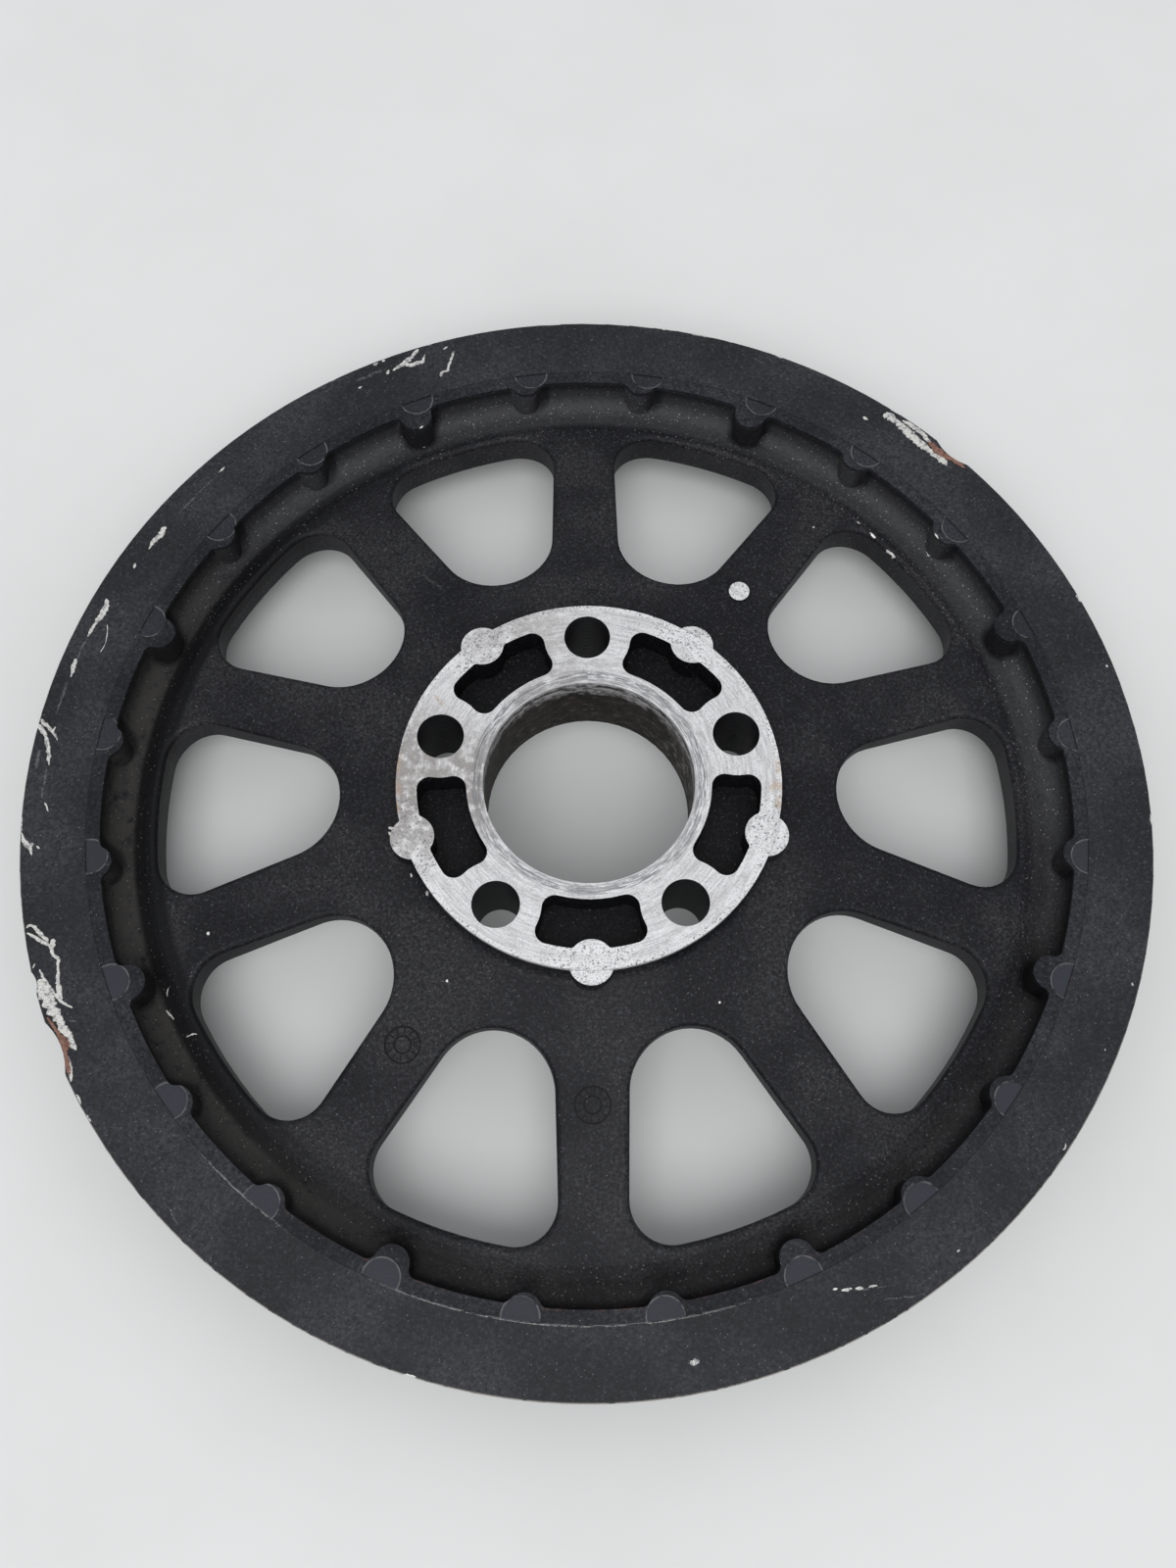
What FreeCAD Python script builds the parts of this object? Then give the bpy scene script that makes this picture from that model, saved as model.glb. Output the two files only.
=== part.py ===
"""Rear drive belt pulley: a die-cast aluminium pulley with a steel flange ring staked to its front.

Millimetres.  The axis is Z, the back flange stands on z = 0 and the machined hub face looks along +Z.
One bolt hole lies on the +Y side.  Angles named "clock" run clockwise from +Y, seen from +Z.
"""
import FreeCAD
import Part
import Sketcher
import math
import os

os.makedirs("parts", exist_ok=True)
doc = FreeCAD.newDocument("rear_belt_pulley")

# Driving sizes
SIZES = [
    ("bolt_circle", 82.55, "diameter of the circle of the bolt holes"),
    ("bolt_hole", 12.47, "diameter of each bolt hole"),
    ("bolt_count", 5, "bolt holes, and one pocket and one edge boss between each two"),
    ("bore_dia", 55.88, "centre bore"),
    ("bore_step_width", 2.45, "turned ring around the mouth of the bore"),
    ("bore_step_depth", 0.4, "depth of that ring"),
    ("bore_back_chamfer", 1.2, "chamfer at the back of the bore"),
    ("hub_dia", 101.4, "machined hub face"),
    ("hub_rise", 13.0, "hub face in front of the flange ring"),
    ("hub_length", 29.0, "hub from face to back"),
    ("hub_draft", 0.8, "how much smaller the hub is at its back"),
    ("tooth_count", 66, "teeth"),
    ("tooth_pitch", 14.0, "belt pitch along the pitch line"),
    ("pitch_line_gap", 1.4, "pitch line outside the tooth tips"),
    ("groove_depth", 6.1, "tooth groove below the tips"),
    ("groove_round", 4.7, "radius of the groove's bottom"),
    ("tooth_tip_round", 1.3, "radius at the tooth tips"),
    ("belt_space", 29.1, "width between the flanges"),
    ("flange_height", 6.85, "flanges above the tooth tips"),
    ("back_flange", 2.5, "thickness of the cast back flange"),
    ("ring_thickness", 2.4, "thickness of the staked flange ring"),
    ("ring_clearance", 0.06, "seam between the casting and the ring's bore"),
    ("flange_edge_round", 0.6, "rounding of the flanges' outer edges"),
    ("rim_wall", 8.25, "metal between the grooves and the rim's inner wall"),
    ("seam_strip", 3.7, "strip of the casting that shows inside the ring"),
    ("rim_back_draft", 1.8, "how much wider the rim opens towards its back"),
    ("rim_channel", 13.3, "from the windows' outer edge to the rim's inner wall"),
    ("window_lip", 2.6, "width of the lip between a window and the channel"),
    ("channel_slope", 5.6, "width of the slope from the lip down to the channel's floor"),
    ("channel_depth", 3.0, "channel's floor below the lip"),
    ("channel_round", 3.8, "channel's floor into the rim wall"),
    ("lip_round", 5.0, "rounding of the lip and of the foot of its slope"),
    ("lip_drop", 7.6, "lip below the front of the rim"),
    ("web_thickness", 11.8, "web at the lip"),
    ("web_front_angle", 10.8, "fall of the web's front towards the rim"),
    ("web_back_angle", 16.3, "fall of the web's back towards the rim"),
    ("hub_foot_round", 3.0, "hub into the front of the web"),
    ("back_foot_round", 5.0, "hub and rim into the back of the web"),
    ("window_count", 10, "windows, and as many spokes"),
    ("hub_collar", 16.3, "from the hub's edge to the windows"),
    ("spoke_half", 11.0, "half the spoke's width, where its sides would reach the axis"),
    ("window_half_angle", 19.1, "a window's side against its middle line"),
    ("window_corner", 10.8, "outer corners of a window"),
    ("window_edge_round", 1.4, "rounding of the windows' front and back edges"),
    ("pocket_inner_dia", 64.6, "inner wall of the hub pockets"),
    ("pocket_outer_dia", 90.6, "outer wall of the hub pockets"),
    ("pocket_depth", 10.0, "depth of the hub pockets"),
    ("pocket_corner", 3.4, "corners of the hub pockets"),
    ("bolt_boss_dia", 23.4, "metal left around each bolt hole"),
    ("edge_boss_dia", 11.6, "round boss on the hub's edge beside each pocket"),
    ("edge_boss_circle", 97.0, "diameter of the circle of those bosses"),
    ("edge_boss_step", 1.5, "boss below the hub face, outside the hub's edge"),
    ("edge_boss_corner", 1.2, "pocket corner beside the boss"),
    ("lobe_group_count", 8, "groups of one deep and two small lobes round the strip"),
    ("lobe_spacing", 15.0, "angle from one lobe to the next"),
    ("lobe_round", 4.5, "radius of a lobe"),
    ("lobe_foot_round", 2.2, "lobe into the rim wall"),
    ("deep_lobe_reach", 6.0, "how far a deep lobe stands in from the rim wall"),
    ("small_lobe_reach", 3.1, "how far a small lobe stands in from the rim wall"),
    ("lobe_root", 2.5, "how far the lobes' ribs run on below the channel's floor"),
    ("stake_count", 24, "stake marks along the seam"),
    ("stake_dia", 9.3, "punch that made the marks"),
    ("stake_inset", 0.4, "middle of the punch inside the seam"),
    ("stake_depth", 0.35, "depth of the marks"),
    ("stake_turn", 0.55, "turn of the marks against the lobes"),
    ("stake_shift", 0.9, "the marks' circle beside the pulley's axis"),
    ("stake_shift_clock", 45.0, "direction of that shift"),
    ("witness_dia", 5.8, "bare round pad on one spoke"),
    ("witness_circle", 148.6, "diameter of the circle that it lies on"),
    ("witness_clock", 35.7, "where it lies"),
    ("witness_rise", 1.0, "height above the web"),
    ("date_wheel_dia", 9.6, "round mould mark on two spokes"),
    ("date_wheel_circle", 164.7, "diameter of the circle that they lie on"),
    ("date_wheel_clock", 180.0, "first of them"),
    ("date_wheel_count", 2, "mould marks, one spoke apart"),
    ("date_wheel_line", 0.45, "width of the mark's rings"),
    ("date_wheel_depth", 0.3, "depth of the mark's rings"),
]

# Worn places on the ring's outer edge: clock angle, depth of the bite and radius of its curve
EDGE_BITES = [
    (12.0, 0.35, 16.0),
    (23.0, 0.4, 3.0),
    (37.5, 0.5, 9.0),
    (45.6, 1.7, 14.0),
    (67.4, 0.45, 2.5),
    (93.0, 0.3, 3.5),
    (197.0, 0.35, 5.0),
    (244.0, 1.9, 18.0),
    (251.0, 0.9, 6.0),
    (266.0, 0.3, 8.0),
    (337.0, 0.35, 12.0),
]

# Two places nearer than this are the same place, and a smaller change of volume is none
NEAR = 0.001
LEAST_VOLUME = 0.01

sizes = doc.addObject("Spreadsheet::Sheet", "sizes")


def write_sizes():
    """Write every driving size to the sheet, one row each, with its name as alias."""
    rows = list(SIZES)
    for number, (clock, depth, curve) in enumerate(EDGE_BITES, 1):
        rows.append((f"bite_{number}_clock", clock, "place of an edge bite"))
        rows.append((f"bite_{number}_depth", depth, "depth of that bite"))
        rows.append((f"bite_{number}_curve", curve, "radius of that bite"))
    for row, (alias, value, meaning) in enumerate(rows, 1):
        sizes.set(f"A{row}", alias)
        sizes.set(f"B{row}", str(value))
        sizes.setAlias(f"B{row}", alias)
        sizes.set(f"C{row}", meaning)


# Sizes that follow from the driving ones, in the order in which they are worked out
DERIVED = [
    ("bore_radius", "sizes.bore_dia / 2"),
    ("bore_step_radius", "bore_radius + sizes.bore_step_width"),
    ("bore_chamfer_radius", "bore_radius + sizes.bore_back_chamfer"),
    ("bolt_radius", "sizes.bolt_circle / 2"),
    ("bolt_hole_radius", "sizes.bolt_hole / 2"),
    ("hub_radius", "sizes.hub_dia / 2"),
    ("hub_back_radius", "hub_radius - sizes.hub_draft"),
    ("pitch_radius", "sizes.tooth_count * sizes.tooth_pitch / (2 * pi)"),
    ("tip_radius", "pitch_radius - sizes.pitch_line_gap"),
    ("root_radius", "tip_radius - sizes.groove_depth"),
    ("rim_bore", "root_radius - sizes.rim_wall"),
    ("rim_back_bore", "rim_bore + sizes.rim_back_draft"),
    ("seam_radius", "rim_bore + sizes.seam_strip"),
    ("ring_bore", "seam_radius + sizes.ring_clearance"),
    ("flange_radius", "tip_radius + sizes.flange_height"),
    ("shoulder_z", "sizes.back_flange + sizes.belt_space"),
    ("rim_front_z", "shoulder_z + sizes.ring_thickness"),
    ("face_z", "rim_front_z + sizes.hub_rise"),
    ("bore_step_z", "face_z - sizes.bore_step_depth"),
    ("hub_back_z", "face_z - sizes.hub_length"),
    ("bore_chamfer_z", "hub_back_z + sizes.bore_back_chamfer"),
    ("window_inner", "hub_radius + sizes.hub_collar"),
    ("window_outer", "rim_bore - sizes.rim_channel"),
    ("lip_radius", "window_outer + sizes.window_lip"),
    ("channel_radius", "lip_radius + sizes.channel_slope"),
    ("lip_z", "rim_front_z - sizes.lip_drop"),
    ("channel_z", "lip_z - sizes.channel_depth"),
    ("front_fall", "tan(sizes.web_front_angle * 1 deg)"),
    ("back_fall", "tan(sizes.web_back_angle * 1 deg)"),
    ("web_back_lip_z", "lip_z - sizes.web_thickness"),
    ("web_front_hub_z", "lip_z + front_fall * (lip_radius - hub_radius)"),
    ("web_back_hub_z", "web_back_lip_z + back_fall * (lip_radius - hub_radius)"),
    ("web_back_rim_z", "web_back_lip_z + back_fall * (lip_radius - rim_bore)"),
    ("window_sine", "sin(sizes.window_half_angle * 1 deg)"),
    ("window_round", "(window_inner * window_sine - sizes.spoke_half) / (1 - window_sine)"),
    ("window_round_y", "window_inner + window_round"),
    ("groove_y", "root_radius + sizes.groove_round"),
    ("groove_top_y", "tip_radius + sizes.tooth_tip_round"),
    ("pocket_inner", "sizes.pocket_inner_dia / 2"),
    ("pocket_outer", "sizes.pocket_outer_dia / 2"),
    ("bolt_boss", "sizes.bolt_boss_dia / 2"),
    ("bolt_half_angle", "180 / sizes.bolt_count"),
    ("bolt_boss_x", "bolt_radius * sin(bolt_half_angle * 1 deg)"),
    ("bolt_boss_y", "bolt_radius * cos(bolt_half_angle * 1 deg)"),
    ("edge_boss", "sizes.edge_boss_dia / 2"),
    ("edge_boss_y", "sizes.edge_boss_circle / 2"),
    ("edge_boss_z", "face_z - sizes.edge_boss_step"),
    ("edge_boss_height", "edge_boss_z - web_back_hub_z"),
    ("lobe_close", "(rim_bore + seam_radius) / 2"),
    ("deep_lobe_y", "rim_bore - sizes.deep_lobe_reach + sizes.lobe_round"),
    ("small_lobe_y", "rim_bore - sizes.small_lobe_reach + sizes.lobe_round"),
    ("lobe_length", "rim_front_z - channel_z + sizes.lobe_root"),
    ("first_lobe_turn", "-sizes.lobe_spacing * 1.5"),
    ("stake_radius", "sizes.stake_dia / 2"),
    ("stake_y", "seam_radius - sizes.stake_inset"),
    ("stake_x_shift", "sizes.stake_shift * sin(sizes.stake_shift_clock * 1 deg)"),
    ("stake_y_shift", "sizes.stake_shift * cos(sizes.stake_shift_clock * 1 deg)"),
    ("stake_first_turn", "-sizes.lobe_spacing / 2 - sizes.stake_turn"),
    ("witness_radius", "sizes.witness_dia / 2"),
    ("witness_y", "sizes.witness_circle / 2"),
    ("witness_web_z", "lip_z + front_fall * (lip_radius - witness_y)"),
    ("witness_z", "witness_web_z + sizes.witness_rise"),
    ("witness_length", "sizes.witness_rise + sizes.witness_dia / 2"),
    ("wheel_outer", "sizes.date_wheel_dia / 2"),
    ("wheel_outer_in", "wheel_outer - sizes.date_wheel_line"),
    ("wheel_inner", "wheel_outer / 2"),
    ("wheel_inner_in", "wheel_inner - sizes.date_wheel_line"),
    ("wheel_y", "sizes.date_wheel_circle / 2"),
    ("wheel_z", "lip_z + front_fall * (lip_radius - wheel_y)"),
    ("window_step", "360 / sizes.window_count"),
]

for number in range(1, len(EDGE_BITES) + 1):
    DERIVED.append((f"bite_{number}_y",
                    f"flange_radius - sizes.bite_{number}_depth + sizes.bite_{number}_curve"))

derived = doc.addObject("App::VarSet", "derived")


def write_derived():
    """Give every derived size a property whose expression keeps it up to date."""
    for name, formula in DERIVED:
        derived.addProperty("App::PropertyFloat", name)
        derived.setExpression(name, formula)


def num(name):
    """Present value of a size, such as sizes.bore_dia or derived.tip_radius."""
    holder, field = name.split(".")
    return float(getattr(doc.getObject(holder), field))


def point(x, y):
    """Place in a sketch."""
    return FreeCAD.Vector(x, y, 0)


def origin_part(body, role):
    """One of the body's own origin planes or axes."""
    return next(part for part in body.Origin.OriginFeatures if part.Role == role)


def new_body(name):
    """Body of one piece, labelled with the piece's name."""
    body = doc.addObject("PartDesign::Body", name)
    body.Label = name
    return body


def new_sketch(body, name, plane="XY_Plane", height=None, turn=None):
    """Sketch on an origin plane, lifted to a named height and turned by a named angle."""
    sketch = body.newObject("Sketcher::SketchObject", name)
    sketch.AttachmentSupport = [(origin_part(body, plane), "")]
    sketch.MapMode = "FlatFace"
    if height:
        sketch.setExpression("AttachmentOffset.Base.z", height)
    if turn:
        sketch.setExpression("AttachmentOffset.Rotation.Angle", turn)
    return sketch


def bind(sketch, constraint, name):
    """Add a constraint and tie its value to a named size."""
    index = sketch.addConstraint(constraint)
    sketch.setExpression(f"Constraints[{index}]", name)


def fix_point(sketch, piece, end, x, y):
    """Hold a point of the sketch at two named coordinates; None is on the axis."""
    if x is None:
        sketch.addConstraint(Sketcher.Constraint("PointOnObject", piece, end, -2))
    else:
        bind(sketch, Sketcher.Constraint("DistanceX", -1, 1, piece, end, num(x)), x)
    if y is None:
        sketch.addConstraint(Sketcher.Constraint("PointOnObject", piece, end, -1))
    else:
        bind(sketch, Sketcher.Constraint("DistanceY", -1, 1, piece, end, num(y)), y)


def straight_outline(sketch, corners):
    """Closed outline of straight lines through corners given as pairs of named coordinates."""
    places = [point(num(x), num(y) if y else 0) for x, y in corners]
    for start, end in zip(places, places[1:] + places[:1]):
        sketch.addGeometry(Part.LineSegment(start, end))
    for i, (x, y) in enumerate(corners):
        before = i - 1 if i else len(corners) - 1
        sketch.addConstraint(Sketcher.Constraint("Coincident", before, 2, i, 1))
        fix_point(sketch, i, 1, x, y)


def circle(sketch, y, radius):
    """Circle on the sketch's upright axis, at a named height and of a named radius."""
    centre = point(0, num(y) if y else 0)
    index = sketch.addGeometry(Part.Circle(centre, FreeCAD.Vector(0, 0, 1), num(radius)))
    fix_point(sketch, index, 3, None, y)
    fix_radius(sketch, index, radius)


class Round:
    """An arc of an outline: its circle and the way that the outline runs along it."""

    def __init__(self, centre, radius, left_turn=True):
        self.centre = centre
        self.radius = radius
        self.left_turn = left_turn

    def edge(self, start, end):
        """The stretch of the arc between two places on it."""
        first, last = (start, end) if self.left_turn else (end, start)
        low = math.atan2(first.y - self.centre.y, first.x - self.centre.x)
        high = math.atan2(last.y - self.centre.y, last.x - self.centre.x)
        if high <= low:
            high += 2 * math.pi
        full = Part.Circle(self.centre, FreeCAD.Vector(0, 0, 1), self.radius)
        return Part.ArcOfCircle(full, low, high)

    def ends(self):
        """Numbers of the end where the outline comes in and the end where it leaves."""
        return (1, 2) if self.left_turn else (2, 1)


def meet(one, two):
    """Point where two arcs' circles touch."""
    gap = (two.centre - one.centre).Length
    big, small = (one, two) if one.radius > two.radius or gap > two.radius else (two, one)
    return big.centre + (small.centre - big.centre).normalize() * big.radius


def crossing(centre_a, radius_a, centre_b, radius_b, right=True):
    """Point at the given distances from two centres, right or left of the way from a to b."""
    way = centre_b - centre_a
    gap = way.Length
    along = (gap ** 2 + radius_a ** 2 - radius_b ** 2) / (2 * gap)
    aside = math.sqrt(radius_a ** 2 - along ** 2)
    way.normalize()
    side = point(way.y, -way.x) if right else point(-way.y, way.x)
    return centre_a + way * along + side * aside


def smooth_run(sketch, rounds, places):
    """Arcs that run on into each other through the given places, with tangent joints."""
    first = sketch.GeometryCount
    for arc, start, end in zip(rounds, places, places[1:]):
        sketch.addGeometry(arc.edge(start, end))
    for i in range(len(rounds) - 1):
        joint = ("Tangent", first + i, rounds[i].ends()[1], first + i + 1, rounds[i + 1].ends()[0])
        sketch.addConstraint(Sketcher.Constraint(*joint))
    return first


def fix_radius(sketch, piece, name):
    """Tie the radius of a circle or an arc to a named size."""
    bind(sketch, Sketcher.Constraint("Radius", piece, num(name)), name)


def join(sketch, piece_a, end_a, piece_b, end_b):
    """Hold an end of one piece on an end of another."""
    sketch.addConstraint(Sketcher.Constraint("Coincident", piece_a, end_a, piece_b, end_b))


def cut_down(body, sketch, name, depth=None):
    """Pocket that cuts from the sketch towards -Z, by a named depth or through everything."""
    pocket = body.newObject("PartDesign::Pocket", name)
    pocket.Profile = sketch
    if depth:
        pocket.Type = "Length"
        pocket.setExpression("Length", depth)
    else:
        pocket.Type = "ThroughAll"
    return pocket


def pad_down(body, sketch, name, length):
    """Pad that grows from the sketch towards -Z."""
    pad = body.newObject("PartDesign::Pad", name)
    pad.Profile = sketch
    pad.setExpression("Length", length)
    pad.Reversed = True
    return pad


def polar(body, feature, name, count, axis=None):
    """Repeat a feature evenly round the axis and make the result the body's tip."""
    pattern = body.newObject("PartDesign::PolarPattern", name)
    pattern.Originals = [feature]
    pattern.Axis = axis or (origin_part(body, "Z_Axis"), [""])
    pattern.Angle = 360
    pattern.setExpression("Occurrences", count)
    body.Tip = pattern
    return pattern


def volume_of(body):
    """Bring the model up to date and give the body's volume."""
    doc.recompute()
    return body.Shape.Volume


def expect_change(body, before, grows, what):
    """Stop if a feature didn't add or remove material; give the new volume."""
    after = volume_of(body)
    if (after > before) != grows or abs(after - before) < LEAST_VOLUME:
        raise RuntimeError(f"{what} changed nothing")
    return after


def ring_edges(shape, radius, height):
    """Names of the full-circle edges at a radius and height."""
    found = []
    for i, edge in enumerate(shape.Edges, 1):
        curve = edge.Curve
        if curve.TypeId != "Part::GeomCircle" or abs(curve.Radius - radius) > NEAR:
            continue
        if (curve.Center - FreeCAD.Vector(0, 0, height)).Length < NEAR:
            found.append(f"Edge{i}")
    return found


def round_rings(body, name, radius_name, places):
    """Round the circular edges at named radii and heights with one named radius."""
    doc.recompute()
    base = body.Tip
    edges = []
    for ring, height in places:
        edges += ring_edges(base.Shape, num(ring), num(height) if height else 0)
    if len(edges) < len(places):
        raise RuntimeError(f"{name}: an edge is missing")
    fillet = body.newObject("PartDesign::Fillet", name)
    fillet.Base = (base, edges)
    fillet.setExpression("Radius", radius_name)
    body.Tip = fillet
    return fillet


def turned_casting(body):
    """Hub, dished web, channel and rim, turned about the axis."""
    sketch = new_sketch(body, "casting_section", "YZ_Plane")
    straight_outline(sketch, [
        ("derived.bore_chamfer_radius", "derived.hub_back_z"),
        ("derived.bore_radius", "derived.bore_chamfer_z"),
        ("derived.bore_radius", "derived.bore_step_z"),
        ("derived.bore_step_radius", "derived.bore_step_z"),
        ("derived.bore_step_radius", "derived.face_z"),
        ("derived.hub_radius", "derived.face_z"),
        ("derived.hub_radius", "derived.web_front_hub_z"),
        ("derived.lip_radius", "derived.lip_z"),
        ("derived.channel_radius", "derived.channel_z"),
        ("derived.rim_bore", "derived.channel_z"),
        ("derived.rim_bore", "derived.rim_front_z"),
        ("derived.seam_radius", "derived.rim_front_z"),
        ("derived.seam_radius", "derived.shoulder_z"),
        ("derived.tip_radius", "derived.shoulder_z"),
        ("derived.tip_radius", "sizes.back_flange"),
        ("derived.flange_radius", "sizes.back_flange"),
        ("derived.flange_radius", None),
        ("derived.rim_back_bore", None),
        ("derived.rim_bore", "derived.web_back_rim_z"),
        ("derived.hub_radius", "derived.web_back_hub_z"),
        ("derived.hub_back_radius", "derived.hub_back_z"),
    ])
    turned = body.newObject("PartDesign::Revolution", "casting_turned")
    turned.Profile = sketch
    turned.ReferenceAxis = (sketch, ["V_Axis"])
    turned.Angle = 360
    body.Tip = turned
    round_rings(body, "channel_fillet", "sizes.channel_round", [
        ("derived.rim_bore", "derived.channel_z"),
    ])
    round_rings(body, "lip_fillet", "sizes.lip_round", [
        ("derived.lip_radius", "derived.lip_z"),
        ("derived.channel_radius", "derived.channel_z"),
    ])
    round_rings(body, "hub_foot_fillet", "sizes.hub_foot_round", [
        ("derived.hub_radius", "derived.web_front_hub_z"),
    ])
    round_rings(body, "back_foot_fillet", "sizes.back_foot_round", [
        ("derived.rim_bore", "derived.web_back_rim_z"),
        ("derived.hub_radius", "derived.web_back_hub_z"),
    ])
    round_rings(body, "flange_edge_fillet", "sizes.flange_edge_round", [
        ("derived.flange_radius", None),
        ("derived.flange_radius", "sizes.back_flange"),
        ("derived.rim_back_bore", None),
        ("derived.hub_back_radius", "derived.hub_back_z"),
    ])


def window_outline(sketch):
    """One window about the upright axis: a round inner end, straight sides and a curved outer end."""
    half = math.radians(num("sizes.window_half_angle"))
    inner = Round(point(0, num("derived.window_round_y")), num("derived.window_round"))
    outer_radius = num("derived.window_outer")
    corner_radius = num("sizes.window_corner")
    outer = Round(point(0, 0), outer_radius)
    inward = point(-math.cos(half), math.sin(half))
    along = point(math.sin(half), math.cos(half))
    off_side = num("sizes.spoke_half") + corner_radius
    reach = math.sqrt((outer_radius - corner_radius) ** 2 - off_side ** 2)
    right_centre = inward * off_side + along * reach
    right = Round(right_centre, corner_radius)
    left = Round(point(-right_centre.x, right_centre.y), corner_radius)
    side_low = inner.centre - inward * inner.radius
    side_high = right_centre - inward * corner_radius
    right_top = meet(outer, right)
    left_top = meet(outer, left)

    def mirrored(place):
        return point(-place.x, place.y)

    sketch.addGeometry(inner.edge(mirrored(side_low), side_low))
    sketch.addGeometry(Part.LineSegment(side_low, side_high))
    sketch.addGeometry(right.edge(side_high, right_top))
    sketch.addGeometry(outer.edge(right_top, left_top))
    sketch.addGeometry(left.edge(left_top, mirrored(side_high)))
    sketch.addGeometry(Part.LineSegment(mirrored(side_high), mirrored(side_low)))
    for piece in range(6):
        sketch.addConstraint(Sketcher.Constraint("Tangent", piece, 2, (piece + 1) % 6, 1))
    upright = Sketcher.Constraint("DistanceY", -1, 1, 0, 3, num("derived.window_round_y"))
    bind(sketch, upright, "derived.window_round_y")
    fix_radius(sketch, 0, "derived.window_round")
    bind(sketch, Sketcher.Constraint("Angle", 1, 1, -2, 1, half), "sizes.window_half_angle * 1 deg")
    sketch.addConstraint(Sketcher.Constraint("Symmetric", 1, 1, 5, 2, -2))
    fix_radius(sketch, 2, "sizes.window_corner")
    sketch.addConstraint(Sketcher.Constraint("Equal", 2, 4))
    sketch.addConstraint(Sketcher.Constraint("Coincident", 3, 3, -1, 1))
    fix_radius(sketch, 3, "derived.window_outer")


def window_edges(shape):
    """Names of the edges where the windows' walls meet the web's front and back."""
    low = num("derived.window_inner") - NEAR
    high = num("derived.window_outer") + NEAR
    found = []
    for i, edge in enumerate(shape.Edges, 1):
        rings = [math.hypot(v.X, v.Y) for v in edge.Vertexes]
        if not rings or min(rings) < low or max(rings) > high:
            continue
        start = edge.Vertexes[0]
        end = edge.Vertexes[-1]
        upright = math.hypot(start.X - end.X, start.Y - end.Y) < NEAR
        if not upright:
            found.append(f"Edge{i}")
    return found


def windows(body):
    """Windows between the spokes, with rounded edges."""
    before = volume_of(body)
    sketch = new_sketch(body, "window_outline", height="derived.face_z")
    window_outline(sketch)
    sketch.setExpression("AttachmentOffset.Rotation.Angle", "derived.window_step / 2")
    cut = cut_down(body, sketch, "window_cut")
    polar(body, cut, "window_pattern", "sizes.window_count")
    before = expect_change(body, before, False, "the windows")
    base = body.Tip
    rounded = body.newObject("PartDesign::Fillet", "window_edge_fillet")
    rounded.Base = (base, window_edges(base.Shape))
    rounded.setExpression("Radius", "sizes.window_edge_round")
    body.Tip = rounded
    expect_change(body, before, False, "the windows' rounded edges")


def edge_bosses(body):
    """Round bosses on the hub's edge, a step lower than its face."""
    before = volume_of(body)
    sketch = new_sketch(body, "edge_boss_outline",
                        height="derived.edge_boss_z", turn="derived.bolt_half_angle")
    circle(sketch, "derived.edge_boss_y", "derived.edge_boss")
    pad = pad_down(body, sketch, "edge_boss_pad", "derived.edge_boss_height")
    polar(body, pad, "edge_boss_pattern", "sizes.bolt_count")
    expect_change(body, before, True, "the edge bosses")


def pocket_outline(sketch):
    """One hub pocket about the upright axis, between two bolt bosses and round an edge boss."""
    axis = point(0, 0)
    corner = num("sizes.pocket_corner")
    notch = num("sizes.edge_boss_corner")
    bolt = point(num("derived.bolt_boss_x"), num("derived.bolt_boss_y"))
    boss = point(0, num("derived.edge_boss_y"))
    inner_radius = num("derived.pocket_inner")
    outer_radius = num("derived.pocket_outer")
    bolt_radius = num("derived.bolt_boss")
    boss_radius = num("derived.edge_boss")

    def flipped(place):
        return point(-place.x, place.y)

    low = crossing(axis, inner_radius + corner, bolt, bolt_radius + corner, right=False)
    high = crossing(axis, outer_radius - corner, bolt, bolt_radius + corner, right=False)
    beside = crossing(axis, outer_radius - notch, boss, boss_radius + notch)
    rounds = [
        Round(axis, inner_radius, False),
        Round(low, corner),
        Round(bolt, bolt_radius, False),
        Round(high, corner),
        Round(axis, outer_radius),
        Round(beside, notch),
        Round(boss, boss_radius, False),
        Round(flipped(beside), notch),
        Round(axis, outer_radius),
        Round(flipped(high), corner),
        Round(flipped(bolt), bolt_radius, False),
        Round(flipped(low), corner),
    ]
    places = [meet(rounds[i - 1], rounds[i]) for i in range(len(rounds))]
    smooth_run(sketch, rounds, places + places[:1])
    closing = ("Tangent", 11, rounds[11].ends()[1], 0, rounds[0].ends()[0])
    sketch.addConstraint(Sketcher.Constraint(*closing))
    for piece in (0, 4, 8):
        sketch.addConstraint(Sketcher.Constraint("Coincident", piece, 3, -1, 1))
    fix_radius(sketch, 0, "derived.pocket_inner")
    fix_radius(sketch, 4, "derived.pocket_outer")
    sketch.addConstraint(Sketcher.Constraint("Equal", 4, 8))
    fix_point(sketch, 2, 3, "derived.bolt_boss_x", "derived.bolt_boss_y")
    sketch.addConstraint(Sketcher.Constraint("Symmetric", 2, 3, 10, 3, -2))
    fix_radius(sketch, 2, "derived.bolt_boss")
    sketch.addConstraint(Sketcher.Constraint("Equal", 2, 10))
    fix_point(sketch, 6, 3, None, "derived.edge_boss_y")
    fix_radius(sketch, 6, "derived.edge_boss")
    fix_radius(sketch, 1, "sizes.pocket_corner")
    for piece in (3, 9, 11):
        sketch.addConstraint(Sketcher.Constraint("Equal", 1, piece))
    fix_radius(sketch, 5, "sizes.edge_boss_corner")
    sketch.addConstraint(Sketcher.Constraint("Equal", 5, 7))


def hub_pockets(body):
    """Blind pockets in the hub face, one between each two bolt holes."""
    before = volume_of(body)
    sketch = new_sketch(body, "pocket_outline", height="derived.face_z", turn="derived.bolt_half_angle")
    pocket_outline(sketch)
    cut = cut_down(body, sketch, "pocket_cut", "sizes.pocket_depth")
    polar(body, cut, "pocket_pattern", "sizes.bolt_count")
    expect_change(body, before, False, "the hub pockets")


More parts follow.
